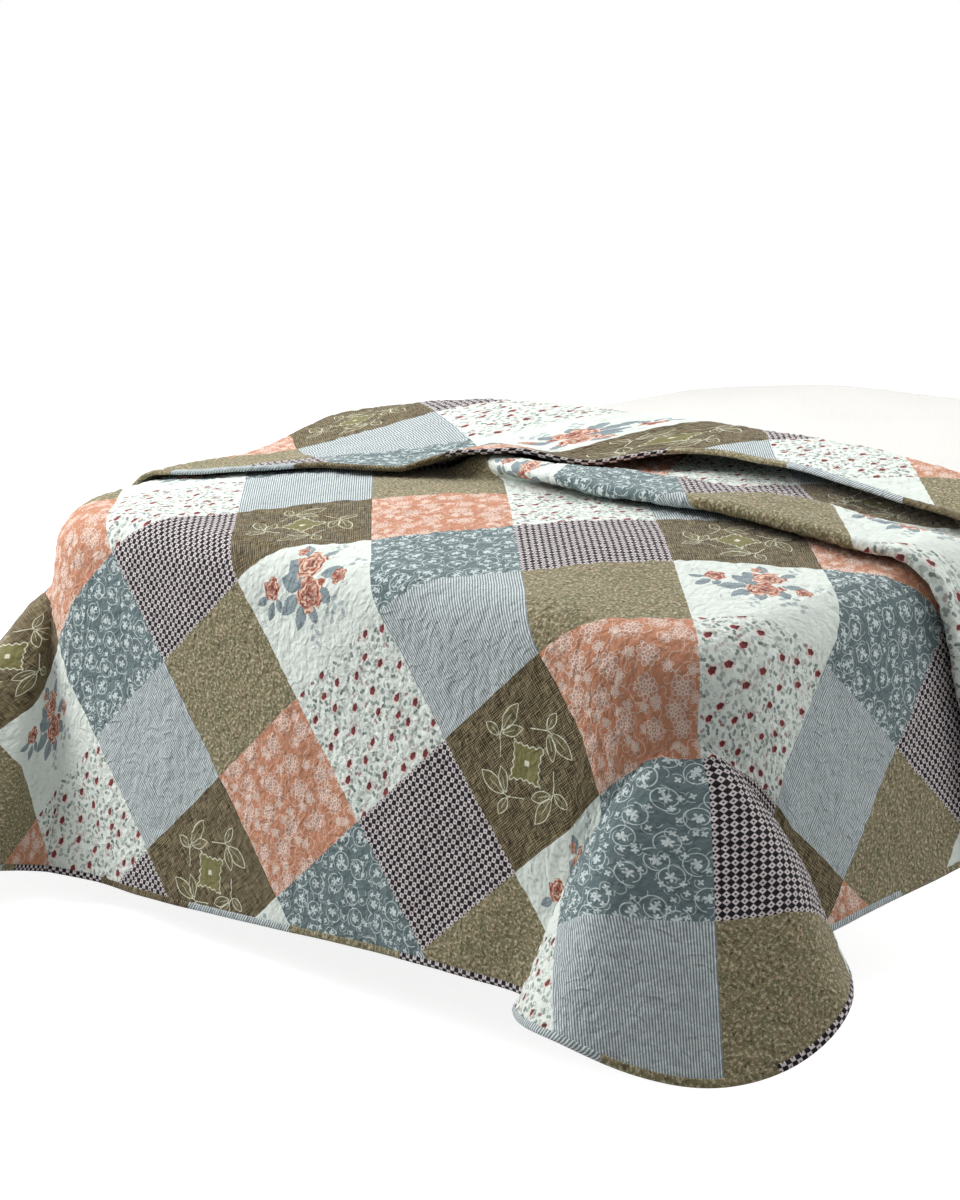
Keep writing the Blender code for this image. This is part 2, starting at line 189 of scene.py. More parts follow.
base_paint, shader = new_material("painted_board", PAINT_PALE, 0.55)
place = object_place(base_paint)
drag = noise(place, 24.0, 4.0, 0.6, stretch=(0.3, 6.0, 1.0))
worn = drag * 0.5 + noise(place, 3.0, 3.0) * 0.5
fill(shader, Base_Color=layered(PAINT_PALE, (worn, PAINT_WORN)), Roughness=drag * 0.2 + 0.45)
relief(shader, drag, 0.0006)
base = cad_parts["bed_base"]
base.data.materials.clear()
base.data.materials.append(base_paint)


# The mattress: a sprung mattress in a white knitted cover, its top and bottom panels joined to the
# side border by a piped seam. It fills the room that the cloth over it leaves, and its foot corners
# are soft and sink a little under the quilt.

BED_HALF_WIDTH = 0.750
BED_LENGTH = 2.000
BED_HEIGHT = 0.700
MATTRESS_THICK = 0.270
MATTRESS_PLAN_RADIUS = 0.18
MATTRESS_EDGE_RADIUS = 0.065
MATTRESS_UNDER_RADIUS = 0.03
MATTRESS_LEAST_RADIUS = 0.02
MATTRESS_WAIST = 0.004
MATTRESS_MORE_WIDE = 0.08
MATTRESS_MORE_DEEP = 0.003
EDGE_CLEAR = 0.009
EDGE_SAG = 0.038
SAG_WIDTH = 0.400
CORNER_SLUMP = 0.026
SLUMP_REACH = 0.17
OFFSET_ALONG = float(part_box("mattress")[1][1]) - (BED_LENGTH - EDGE_CLEAR)
COVER_WHITE = (0.78, 0.77, 0.74)
COVER_SHADE = (0.66, 0.65, 0.62)


def eased(share):
    """A smooth step from 0 to 1."""
    share = np.clip(share, 0.0, 1.0)
    return share * share * (3.0 - 2.0 * share)


def crown(across, along, deep=EDGE_SAG, wide=SAG_WIDTH):
    """How far the top of the bed lies below its middle, near the foot and the sides."""
    to_side = eased(1.0 - (BED_HALF_WIDTH - np.minimum(np.abs(across), BED_HALF_WIDTH)) / wide)
    to_foot = eased(1.0 - np.clip(along, 0.0, None) / wide)
    return deep * (1.0 - (1.0 - to_side) * (1.0 - to_foot))


def slump(x, y):
    """How far the cloth over a foot corner sinks with the mattress's soft corner."""
    away = np.hypot(BED_HALF_WIDTH - x, y)
    return CORNER_SLUMP * np.exp(-((away / SLUMP_REACH) ** 2))


def on_bed(points):
    """Points of the bed's own frame, its foot edge at Y 0 and its top at Z 0, in the model's frame."""
    return np.asarray(points, float) + np.array((0.0, OFFSET_ALONG, BED_HEIGHT))


def new_piece(name, points, faces, materials, replaces=()):
    """A mesh object of these points and faces, riding on the part's one body."""
    mesh = bpy.data.meshes.new(name)
    mesh.from_pydata([tuple(point) for point in points], [], faces)
    mesh.update()
    mesh.shade_smooth()
    for material in materials:
        mesh.materials.append(material)
    piece = bpy.data.objects.new(name, mesh)
    bpy.context.scene.collection.objects.link(piece)
    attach(piece, "root")
    if replaces:
        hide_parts(*replaces)
    return piece


def mattress_outline(inset, z, steps=14, along_steps=34, across_steps=26):
    """A level line round the mattress, with points along its straight sides too."""
    half, foot = BED_HALF_WIDTH - EDGE_CLEAR - inset, EDGE_CLEAR + inset
    head = BED_LENGTH - foot
    radius = max(MATTRESS_PLAN_RADIUS - EDGE_CLEAR - inset, MATTRESS_LEAST_RADIUS)
    corners = (
        (half - radius, foot + radius, -90, along_steps),
        (half - radius, head - radius, 0, across_steps),
        (radius - half, head - radius, 90, along_steps),
        (radius - half, foot + radius, 180, across_steps),
    )
    points = []
    for k, (x, y, start, straight) in enumerate(corners):
        for step in range(steps + 1):
            turn = math.radians(start + 90 * step / steps)
            points.append((x + radius * math.cos(turn), y + radius * math.sin(turn)))
        next_x, next_y, next_start, _ = corners[(k + 1) % 4]
        turn = math.radians(next_start)
        end = (next_x + radius * math.cos(turn), next_y + radius * math.sin(turn))
        first = points[-1]
        for step in range(1, straight):
            share = step / straight
            points.append((first[0] + (end[0] - first[0]) * share, first[1] + (end[1] - first[1]) * share))
    outline = np.array(points)
    level = np.full(len(outline), z)
    if z > -0.5 * MATTRESS_THICK:
        deep, wide = EDGE_SAG + MATTRESS_MORE_DEEP, SAG_WIDTH + MATTRESS_MORE_WIDE
        level -= crown(outline[:, 0], outline[:, 1], deep, wide) + slump(np.abs(outline[:, 0]), outline[:, 1])
    return np.column_stack((outline, level))


def lofted(loops):
    """The faces through a stack of closed loops of the same length, closed at both ends."""
    count = len(loops[0])
    faces = []
    for row in range(len(loops) - 1):
        for k in range(count):
            n = (k + 1) % count
            low, high = row * count, (row + 1) * count
            faces.append((low + k, low + n, high + n, high + k))
    faces.append(tuple(range(count))[::-1])
    faces.append(tuple((len(loops) - 1) * count + k for k in range(count)))
    return faces


BORDER_STEPS = 10
ROUND_STEPS = 8
TOP_INSETS = (0.085, 0.11, 0.14, 0.17, 0.20, 0.24, 0.28, 0.32, 0.36, 0.40, 0.44, 0.48, 0.56, 0.64, 0.70)
loops = []
for step in range(ROUND_STEPS + 1):
    turn = math.pi / 2 * step / ROUND_STEPS
    inset = MATTRESS_UNDER_RADIUS * (1.0 - math.sin(turn))
    loops.append(mattress_outline(inset, MATTRESS_UNDER_RADIUS * (1.0 - math.cos(turn)) - MATTRESS_THICK))
border_low, border_high = MATTRESS_UNDER_RADIUS - MATTRESS_THICK, -MATTRESS_EDGE_RADIUS
for step in range(1, BORDER_STEPS):
    share = step / BORDER_STEPS
    waist = MATTRESS_WAIST * math.sin(math.pi * share)
    low = mattress_outline(waist, -MATTRESS_THICK)
    high = mattress_outline(waist, 0.0)
    low[:, 2], high[:, 2] = border_low, high[:, 2] + border_high
    loops.append(low + (high - low) * share)
for step in range(ROUND_STEPS + 1):
    turn = math.pi / 2 * step / ROUND_STEPS
    inset = MATTRESS_EDGE_RADIUS * (1.0 - math.cos(turn))
    loops.append(mattress_outline(inset, MATTRESS_EDGE_RADIUS * (math.sin(turn) - 1.0)))
for inset in TOP_INSETS:
    loops.append(mattress_outline(inset, 0.0))

cover, shader = new_material("mattress_cover", COVER_WHITE, 0.92)
place = object_place(cover)
knit = Value(add_node(cover.node_tree, "ShaderNodeTexVoronoi", Vector=place, Scale=260.0).outputs["Distance"])
diamond = add_node(
    cover.node_tree, "ShaderNodeTexWave", Vector=place, Scale=2.2, bands_direction="DIAGONAL", Distortion=0.0
).outputs["Fac"]
tone = noise(place, 6.0, 3.0) * 0.4 + knit * 0.5
fill(shader, Base_Color=layered(COVER_WHITE, (tone, COVER_SHADE)), Sheen_Weight=0.2, Sheen_Roughness=0.5)
relief(shader, knit, 0.0006, after=relief(shader, diamond, 0.0015))
mattress = new_piece(
    "mattress_body", on_bed(np.concatenate(loops)), lofted(loops), [cover], ["mattress"]
)

PIPING_RADIUS = 0.0035
PIPING_SIDES = 8
ON_ROUND = 0.29
piping, shader = new_material("mattress_piping", COVER_SHADE, 0.8)
rib = noise(object_place(piping), 300.0, 1.0, stretch=(1.0, 1.0, 0.2))
fill(shader, Base_Color=layered(COVER_SHADE, (rib, COVER_WHITE)))
relief(shader, rib, 0.0004)
top_inset, under_inset = MATTRESS_EDGE_RADIUS * ON_ROUND, MATTRESS_UNDER_RADIUS * ON_ROUND
for name, inset, z in (
    ("mattress_piping_top", top_inset, -top_inset),
    ("mattress_piping_under", under_inset, under_inset - MATTRESS_THICK),
):
    path = on_bed(mattress_outline(inset, z))
    ahead = np.roll(path, -1, 0) - np.roll(path, 1, 0)
    ahead /= np.linalg.norm(ahead, axis=1, keepdims=True)
    side = np.cross(ahead, (0.0, 0.0, 1.0))
    side /= np.linalg.norm(side, axis=1, keepdims=True)
    up = np.cross(side, ahead)
    points = []
    faces = []
    for k in range(len(path)):
        n = (k + 1) % len(path)
        for ring in range(PIPING_SIDES):
            m = (ring + 1) % PIPING_SIDES
            turn = 2 * math.pi * ring / PIPING_SIDES
            points.append(path[k] + PIPING_RADIUS * (side[k] * math.cos(turn) + up[k] * math.sin(turn)))
            faces.append([at * PIPING_SIDES + way for at, way in ((k, ring), (n, ring), (n, m), (k, m))])
    new_piece(name, points, faces, [piping])


# The printed cottons of the patches: eight prints on plain-woven cotton, each patch cut from one of
# them and set with a corner towards the foot. All share a fine weave, slight fading in the wash, and
# the pucker that the machine quilting leaves. They are printed flat, so a print has no height.

PRINTS = {}


def outputs_of(node):
    """A node's outputs by name, its numbers ready for arithmetic."""
    return {socket.name: Value(socket) if socket.type == "VALUE" else socket for socket in node.outputs}


def new_group(name, takes, gives):
    """A node group with these named sockets: the group, what it is given, and its output node."""
    group = bpy.data.node_groups.new(name, "ShaderNodeTree")
    kinds = {"value": "NodeSocketFloat", "place": "NodeSocketVector", "colour": "NodeSocketColor"}
    for side, sockets in (("INPUT", takes), ("OUTPUT", gives)):
        for label, kind in sockets.items():
            group.interface.new_socket(name=label, in_out=side, socket_type=kinds[kind])
    return group, outputs_of(group.nodes.new("NodeGroupInput")), group.nodes.new("NodeGroupOutput")


def use_group(group, **inputs):
    """One use of a node group, in the tree that its first place is from: its outputs by name."""
    place = next(value for value in inputs.values() if isinstance(value, bpy.types.NodeSocket))
    return outputs_of(add_node(place.id_data, "ShaderNodeGroup", node_tree=group, **inputs))


def split(place):
    """The X and Y of a place."""
    node = add_node(place.id_data, "ShaderNodeSeparateXYZ", Vector=place)
    return Value(node.outputs[0]), Value(node.outputs[1])


def inside(distance, soft):
    """1 where a signed distance is under 0, fading out over a soft edge."""
    return (0.5 - distance / soft).clamped()


def stroke(distance, width):
    """1 on a line where the distance is 0, this wide and soft at its edges."""
    return (1.4 - abs(distance) / (width / 2)).clamped()


def either(*masks):
    """The greatest of several masks."""
    most, *others = masks
    for mask in others:
        most = calc("MAXIMUM", most, mask)
    return most


def polar(place):
    """How far a place is from the middle, and its angle."""
    x, y = split(place)
    return calc("SQRT", x * x + y * y), calc("ARCTAN2", y, x)


def lobed(angle, count):
    """A value that rises from 0 to 1 this many times in a full turn."""
    return abs(calc("COSINE", angle * (count / 2)))


def sine(value):
    """The sine of a value."""
    return calc("SINE", value)


def wave(value, pitch):
    """The sine of a value, repeating at a pitch."""
    return sine(value * (2 * math.pi / pitch))


def threads(place, scale, thin):
    """The sum of two noises, one drawn out along each thread of a cloth."""
    warp = noise(place, scale, 1.0, stretch=(1.0, thin, 1.0))
    return warp + noise(place, scale, 1.0, stretch=(thin, 1.0, 1.0))


def place_math(operation, first, second):
    """A Vector Math node on two places."""
    node = add_node(first.id_data, "ShaderNodeVectorMath", operation=operation, i0=first, i1=second)
    return node.outputs[0]


WASHED_DARK = 0.86
WASHED_LIGHT = 1.08
wash, given, result = new_group(
    "wash", {"Cloth": "place", "Colour": "colour"}, {"Colour": "colour", "Roughness": "value"}
)
slub = threads(given["Cloth"], 900.0, 0.12) * 0.5
shade = noise(given["Cloth"], 14.0, 3.0, 0.6) * (WASHED_LIGHT - WASHED_DARK) + WASHED_DARK
faded = add_node(
    wash, "ShaderNodeVectorMath", operation="SCALE", i0=given["Colour"], Scale=shade * (slub * 0.24 + 0.88)
)
fill(result, Colour=faded.outputs[0], Roughness=slub * 0.16 + 0.80)


def meander(across, length, sine):
    """The wandering quilting stitch: its lines are where this is 0, about 25 mm apart."""
    turn = 2 * math.pi
    slow = sine(turn * (across / 0.171 + length / 0.213))
    first = across / 0.056 + 0.42 * sine(turn * length / 0.071) + 0.25 * slow
    second = length / 0.053 + 0.40 * sine(turn * across / 0.079 + 1.1) - 0.25 * slow
    return sine(turn * first) + 0.85 * sine(turn * second)


STITCH_SHARP = 0.34
quilting, given, result = new_group("quilting", {"Cloth": "place"}, {"Height": "value"})
stitched = meander(*split(given["Cloth"]), sine)
channel = calc("EXPONENT", stitched * stitched * (-1 / STITCH_SHARP))
crumple = noise(given["Cloth"], 48.0, 2.0, 0.6, stretch=(1.25, 0.8, 1.0))
broken = (noise(given["Cloth"], 36.0, 1.0) * 3.2 - 1.15).clamped()
drawn = noise(given["Cloth"], 95.0, 2.0, 0.55) * (channel * 0.9 + 0.35)
fill(result, Height=channel * broken * -0.75 + drawn * 1.1 + crumple * 1.5)


def printed_cotton(name, flat_colour, draw):
    """One print's material: draw(patch place) gives its colour, and the cloth adds the rest."""
    material, shader = new_material("print_" + name, flat_colour, 0.88)
    maps = [add_node(material.node_tree, "ShaderNodeUVMap", uv_map=layer) for layer in ("patch", "cloth")]
    patch, cloth = (node.outputs[0] for node in maps)
    washed = use_group(wash, Cloth=cloth, Colour=draw(patch))
    fill(shader, Base_Color=washed["Colour"], Roughness=washed["Roughness"])
    fill(shader, Sheen_Weight=0.12, Sheen_Roughness=0.45, Specular_IOR_Level=0.25)
    pucker = relief(shader, use_group(quilting, Cloth=cloth)["Height"], 0.0032)
    relief(shader, threads(cloth, 1100.0, 0.1), 0.0003, after=pucker)
    PRINTS[name] = material


def along_sides(patch):
    """A patch place turned so that it runs along the patch's two sides."""
    x, y = split(patch)
    return (x + y) * math.sqrt(0.5), (y - x) * math.sqrt(0.5)


# A group that scatters a motif: the place from the middle of the nearest one, turned at random.
scatter, given, result = new_group(
    "scatter", {"Place": "place", "Pitch": "value", "Spread": "value", "Turn": "value"},
    {"Place": "place", "Chance": "value", "Second chance": "value"},
)
pitches = add_node(scatter, "ShaderNodeCombineXYZ", X=given["Pitch"], Y=given["Pitch"], Z=1.0).outputs[0]
scaled = place_math("DIVIDE", given["Place"], pitches)
cells = add_node(
    scatter, "ShaderNodeTexVoronoi", voronoi_dimensions="2D", Vector=scaled, Scale=1.0,
    Randomness=given["Spread"],
)
offset = place_math("SUBTRACT", scaled, cells.outputs["Position"])
chances = add_node(scatter, "ShaderNodeSeparateColor", i0=cells.outputs["Color"]).outputs
turned = add_node(
    scatter, "ShaderNodeVectorRotate", rotation_type="Z_AXIS", Vector=place_math("MULTIPLY", offset, pitches),
    Angle=Value(chances[0]) * (2 * math.pi) * given["Turn"],
)
fill(result, Place=turned.outputs[0], Chance=chances[1], Second_chance=chances[2])


def scattered(patch, pitch, spread, turn=1.0):
    """The place from the nearest of many motifs, and two chances of its own."""
    spots = use_group(scatter, Place=patch, Pitch=pitch, Spread=spread, Turn=turn)
    return spots["Place"], spots["Chance"], spots["Second chance"]


# The olive print: a khaki ground broken up by tiny sprigs in beige and dark brown.

OLIVE_GROUND = (0.264, 0.218, 0.120)
OLIVE_GREEN = (0.195, 0.185, 0.095)
OLIVE_DARK = (0.070, 0.050, 0.026)
OLIVE_BEIGE = (0.560, 0.490, 0.350)
OLIVE_RED = (0.30, 0.09, 0.055)
SPECK_PITCH = 0.019
SPECK_RADIUS = 0.0013


def olive_print(patch):
    """Flecks of a few millimetres, thicker in some places than in others."""
    drift = (noise(patch, 34.0, 2.0, 0.6) * 4.0 - 1.6).clamped()
    dark = (noise(patch, 175.0, 3.0, 0.7) * -9.0 + 4.3).clamped()
    beside = add_node(patch.id_data, "ShaderNodeMapping", Vector=patch, Location=(0.37, 0.61, 0.0)).outputs[0]
    fleck = (noise(beside, 190.0, 3.0, 0.7) * 10.0 - 5.1).clamped()
    spot, chance, _ = scattered(patch, SPECK_PITCH, 1.0)
    red = inside(polar(spot)[0] - SPECK_RADIUS, 0.001) * (chance > 0.55)
    return layered(
        OLIVE_GREEN, (drift, OLIVE_GROUND), (dark * 0.85, OLIVE_DARK), (fleck * 0.9, OLIVE_BEIGE),
        (red * 0.8, OLIVE_RED),
    )


printed_cotton("olive", OLIVE_GROUND, olive_print)


# The check: a fine houndstooth-like lattice, black with pinkish white lozenges that have a dark eye.

CHECK_PITCH = 0.0105
CHECK_BLACK = (0.010, 0.008, 0.012)
CHECK_PINK = (0.70, 0.635, 0.635)


def check_print(patch):
    """Lozenges that meet at their corners, each with a dark dot."""
    u, v = (calc("FRACT", side / CHECK_PITCH) - 0.5 for side in along_sides(patch))
    reach = abs(u) + abs(v)
    pale = inside(reach - 0.475, 0.08) * (1.0 - inside(reach - 0.16, 0.10))
    return layered(CHECK_BLACK, (pale, CHECK_PINK))


printed_cotton("check", (0.30, 0.25, 0.25), check_print)


# The rosebud print: small dark red buds on off-white, with a litter of grey-green leaves and stems.

OFF_WHITE = (0.775, 0.835, 0.775)
BUD_RED = (0.235, 0.034, 0.040)
BUD_DARK = (0.085, 0.026, 0.025)
BUD_HALO = (0.80, 0.60, 0.54)
SPRIG_GREEN = (0.170, 0.222, 0.202)
SPRIG_MAUVE = (0.33, 0.20, 0.20)
BUD_PITCH = 0.0400
BUD_RADIUS = 0.0046
LITTER_PITCH = 0.0108


def rosebud_print(patch):
    """Buds about 4 cm apart, all one way up, over a dense litter of leaves in pairs and tiny flowers."""
    spot, chance, fading = scattered(patch, LITTER_PITCH, 0.85)
    reach, angle = polar(spot)
    curl = stroke(reach - (angle * 0.0003 + 0.0027), 0.0017) * (chance < 0.40)
    leaf = inside(reach - (lobed(angle, 2) * 0.0036 + 0.0013), 0.0010) * (chance > 0.25)
    leaf_colour = layered(SPRIG_GREEN, (chance > 0.84, SPRIG_MAUVE))
    litter = either(leaf, curl * 0.75) * (fading * 0.60 + 0.40)
    across, along = split(scattered(patch, BUD_PITCH, 0.55, 0.09)[0])
    far = calc("SQRT", across * across + along * along * 0.45)
    edge = sine(calc("ARCTAN2", along, across) * 5.0) * 0.0004 + BUD_RADIUS
    halo = inside(far - edge * 1.6, 0.0015)
    heart = layered(BUD_RED, ((along * 190.0 + 0.15).clamped(), BUD_DARK))
    bud = inside(far - edge, 0.0008)
    return layered(OFF_WHITE, (litter, leaf_colour), (halo * 0.42, BUD_HALO), (bud, heart))


printed_cotton("rosebud", OFF_WHITE, rosebud_print)


# The bouquet print: full roses in terracotta with pale petal edges, among grey-teal leaves and buds.

ROSE_DEEP = (0.150, 0.025, 0.020)
ROSE_RUST = (0.310, 0.070, 0.046)
ROSE_PEACH = (0.74, 0.400, 0.270)
ROSE_CREAM = (0.90, 0.70, 0.56)
LEAF_TEAL = (0.300, 0.370, 0.395)
LEAF_DARK = (0.085, 0.115, 0.130)

rose, given, result = new_group(
    "rose", {"Place": "place", "Size": "value", "Rust": "value"}, {"Colour": "colour", "Mask": "value"}
)
stir = add_node(rose, "ShaderNodeTexNoise", Vector=given["Place"], Scale=75.0, Detail=1.0).outputs["Color"]
pull = add_node(
    rose, "ShaderNodeVectorMath", operation="SCALE", i0=place_math("SUBTRACT", stir, (0.5, 0.5, 0.5)),
    Scale=given["Size"] * 0.75,
)
ruffled = place_math("ADD", given["Place"], pull.outputs[0])
reach, angle = polar(ruffled)
share = reach / given["Size"]
rim = abs(sine(angle * 2.5)) * 0.26 + 0.78
turns = share * 3.3 + angle * (1 / (2 * math.pi))
petal = sine(angle * 5.0 + calc("FLOOR", turns) * 2.1)
band = calc("FRACT", petal * 0.17 + turns)
rusty = (noise(ruffled, 95.0, 1.0) * 6.0 - 2.8).clamped()
inner = (share * -3.2 + 1.25).clamped()
petals = layered(
    ROSE_RUST, ((band * 2.2 - 0.35).clamped(), ROSE_PEACH), ((band * 3.2 - 1.7).clamped(), ROSE_CREAM),
    ((band * -6.0 + 1.25).clamped(), ROSE_DEEP), (rusty * given["Rust"], ROSE_RUST),
    (inner * 0.75, ROSE_DEEP),
)
fill(result, Colour=petals, Mask=inside(share - rim, 0.06))

leaf, given, result = new_group(
    "leaf", {"Place": "place", "Length": "value", "Width": "value"}, {"Mask": "value", "Shade": "value"}
)
x, y = split(given["Place"])
share = x / given["Length"]
teeth = abs(wave(x, 0.011)) * 0.25 + 1.75
gap = abs(y) - share * (1.0 - share) * teeth * given["Width"]
ribs = wave(x - abs(y) * 0.9, 0.0042) * 0.2 + 0.1
dark_lines = either(stroke(y, 0.0009), (gap * 700.0 + 0.9).clamped())
shade = (dark_lines + ((y > 0.0) * 0.25 + ribs)).clamped()
fill(result, Mask=inside(gap, 0.0007), Shade=shade)


def placed_at(patch, x, y, angle):
    """A patch place seen from a motif that sits at (x, y) and is turned by an angle in degrees."""
    return add_node(
        patch.id_data, "ShaderNodeMapping", vector_type="TEXTURE", Vector=patch,
        Location=(x, y, 0.0), Rotation=(0.0, 0.0, math.radians(angle)),
    ).outputs[0]


BOUQUET_LEAVES = (
    {"x": -0.012, "y": 0.014, "angle": 176, "length": 0.052, "width": 0.034},
    {"x": -0.030, "y": 0.034, "angle": 160, "length": 0.036, "width": 0.026},
    {"x": -0.018, "y": 0.000, "angle": 228, "length": 0.050, "width": 0.028},
    {"x": -0.004, "y": -0.010, "angle": 262, "length": 0.046, "width": 0.024},
    {"x": 0.010, "y": -0.010, "angle": 305, "length": 0.034, "width": 0.020},
    {"x": 0.020, "y": 0.014, "angle": 338, "length": 0.036, "width": 0.022},
    {"x": 0.014, "y": 0.034, "angle": 30, "length": 0.040, "width": 0.022},
    {"x": -0.010, "y": 0.062, "angle": 82, "length": 0.034, "width": 0.018},
    {"x": -0.038, "y": 0.060, "angle": 134, "length": 0.036, "width": 0.020},
    {"x": -0.074, "y": -0.020, "angle": 262, "length": 0.032, "width": 0.017},
    {"x": -0.086, "y": -0.016, "angle": 214, "length": 0.026, "width": 0.015},
    {"x": -0.066, "y": -0.014, "angle": 300, "length": 0.024, "width": 0.014},
)
BOUQUET_SPRIGS = (
    {"x": 0.036, "y": 0.008, "angle": 345, "leaves": 5, "step": 0.009},
    {"x": 0.044, "y": 0.000, "angle": 310, "leaves": 3, "step": 0.009},
    {"x": 0.044, "y": 0.058, "angle": 50, "leaves": 3, "step": 0.009},
    {"x": -0.014, "y": 0.088, "angle": 96, "leaves": 4, "step": 0.008},
    {"x": 0.022, "y": -0.030, "angle": 285, "leaves": 4, "step": 0.009},
)
BOUQUET_ROSES = (
    {"x": 0.050, "y": 0.040, "size": 0.0135, "angle": 20, "rust": 0.9},
    {"x": -0.056, "y": 0.068, "size": 0.0100, "angle": 150, "rust": 0.5},
    {"x": -0.080, "y": -0.002, "size": 0.0175, "angle": 200, "rust": 1.0},
    {"x": -0.020, "y": 0.050, "size": 0.0265, "angle": 80, "rust": 0.15},
    {"x": 0.006, "y": 0.004, "size": 0.0290, "angle": 310, "rust": 0.8},
)
SPRIG_LEAF = {"Length": 0.013, "Width": 0.008}
SPRIG_SPLAY = 50


def bouquet_print(patch):
    """One bouquet in the middle of the patch."""
    colour = layered(OFF_WHITE, (noise(patch, 160.0, 2.0) * 0.1, LEAF_TEAL))
    for sprig in BOUQUET_SPRIGS:
        turn = math.radians(sprig["angle"])
        for k in range(sprig["leaves"]):
            away = sprig["step"] * (k + 1)
            x = sprig["x"] + away * math.cos(turn)
            y = sprig["y"] + away * math.sin(turn)
            angle = sprig["angle"] + (SPRIG_SPLAY if k % 2 else -SPRIG_SPLAY)
            spot = use_group(leaf, Place=placed_at(patch, x, y, angle), **SPRIG_LEAF)
            colour = layered(colour, (spot["Mask"] * 0.75, LEAF_TEAL))
    for row in BOUQUET_LEAVES:
        place = placed_at(patch, row["x"], row["y"], row["angle"])
        spot = use_group(leaf, Place=place, Length=row["length"], Width=row["width"])
        green = layered(LEAF_TEAL, (spot["Shade"] * 0.75, LEAF_DARK))
        colour = layered(colour, (spot["Mask"], green))
    for row in BOUQUET_ROSES:
        place = placed_at(patch, row["x"], row["y"], row["angle"])
        bloom = use_group(rose, Place=place, Size=row["size"], Rust=row["rust"])
        colour = layered(colour, (bloom["Mask"], bloom["Colour"]))
    return colour


printed_cotton("bouquet", OFF_WHITE, bouquet_print)


# The dark olive print: a coarse cross-hatched ground with a wavy-edged square and four sprigs that
# are drawn in cream line, like embroidery.

HATCH_GROUND = (0.122, 0.092, 0.042)
HATCH_DARK = (0.036, 0.025, 0.012)
HATCH_LIGHT = (0.300, 0.245, 0.135)
TILE_OLIVE = (0.200, 0.185, 0.070)
LINE_CREAM = (0.71, 0.72, 0.56)
LINE_WIDTH = 0.0017
HATCH_PITCH = 0.0034
TILE_HALF = 0.0222
TILE_WAVE = 0.0118
TILE_WAVE_DEEP = 0.0012
TILE_PINCH = 4.0
TILE_PINCH_MOST = 0.010
EYE_HALF = 0.0042
SPRIG_START = math.radians(10.0)
SPRIG_STEMS = (
    {"x": -0.002, "y": 0.0510, "to_x": 0.031, "to_y": 0.0556},
    {"x": 0.030, "y": 0.0556, "to_x": 0.040, "to_y": 0.0510},
)
SPRIG_LEAVES = (
    {"x": 0.029, "y": 0.0570, "angle": 63, "length": 0.030, "width": 0.0155},
    {"x": 0.037, "y": 0.0530, "angle": -30, "length": 0.051, "width": 0.0215},
    {"x": 0.033, "y": 0.0506, "angle": -68, "length": 0.039, "width": 0.0165},
)
line_leaf, given, result = new_group(
    "line_leaf", {"Place": "place", "Length": "value", "Width": "value"}, {"Line": "value", "Inside": "value"}
)
x, y = split(given["Place"])
share = x / given["Length"]
gap = abs(y) - share * (1.0 - share) * 2.0 * given["Width"]
outline = stroke(gap, LINE_WIDTH) * (share > -0.01) * (share < 1.01)
vein = stroke(y, 0.0014) * (share > 0.0) * (share < 0.62) * 0.6
fill(result, Line=either(outline, vein), Inside=inside(gap, 0.0006))


def embroidered_print(patch):
    """The square and its sprigs, the sprigs the same in each quarter."""
    u, v = along_sides(patch)
    sides = add_node(patch.id_data, "ShaderNodeCombineXYZ", X=u, Y=v).outputs[0]
    tone = threads(sides, 540.0, 0.07) * 0.5 + (wave(u, HATCH_PITCH) + wave(v, HATCH_PITCH)) * 0.072
    x, y = split(patch)
    edge_x = abs(x) + wave(y, TILE_WAVE) * TILE_WAVE_DEEP
    edge_y = abs(y) + wave(x, TILE_WAVE) * TILE_WAVE_DEEP
    pinch = calc("MINIMUM", (x * x + y * y) * TILE_PINCH, TILE_PINCH_MOST)
    rim = calc("MAXIMUM", edge_x, edge_y) - TILE_HALF - pinch
    quarter = calc("FLOOR", (polar(patch)[1] - SPRIG_START) / (math.pi / 2))
    sprig = add_node(
        patch.id_data, "ShaderNodeVectorRotate", rotation_type="Z_AXIS", Vector=patch,
        Angle=quarter * (-math.pi / 2),
    ).outputs[0]
    lines = [stroke(rim, LINE_WIDTH), inside(calc("MAXIMUM", abs(x), abs(y)) - EYE_HALF, 0.0008)]
    insides = []
    for row in SPRIG_STEMS:
        run, rise = row["to_x"] - row["x"], row["to_y"] - row["y"]
        stem = placed_at(sprig, row["x"], row["y"], math.degrees(math.atan2(rise, run)))
        along, beside = split(stem)
        lines.append(stroke(beside, LINE_WIDTH) * (along > 0.0) * (along < math.hypot(run, rise)))
    for row in SPRIG_LEAVES:
        place = placed_at(sprig, row["x"], row["y"], row["angle"])
        shape = use_group(line_leaf, Place=place, Length=row["length"], Width=row["width"])
        lines.append(shape["Line"])
        insides.append(shape["Inside"])
    return layered(
        HATCH_DARK, ((tone * 6.0 - 2.4).clamped(), HATCH_GROUND),
        ((tone * 8.5 - 4.15).clamped(), HATCH_LIGHT), (inside(rim, 0.0008), TILE_OLIVE),
        (either(*insides) * 0.25, TILE_OLIVE), (either(*lines), LINE_CREAM),
    )


printed_cotton("embroidered", HATCH_GROUND, embroidered_print)


# The stripe: a fine slate pinstripe on cool white, a little broken like a seersucker.

STRIPE_PITCH = 0.0039
STRIPE_SLATE = (0.200, 0.240, 0.258)
STRIPE_WHITE = (0.690, 0.750, 0.748)


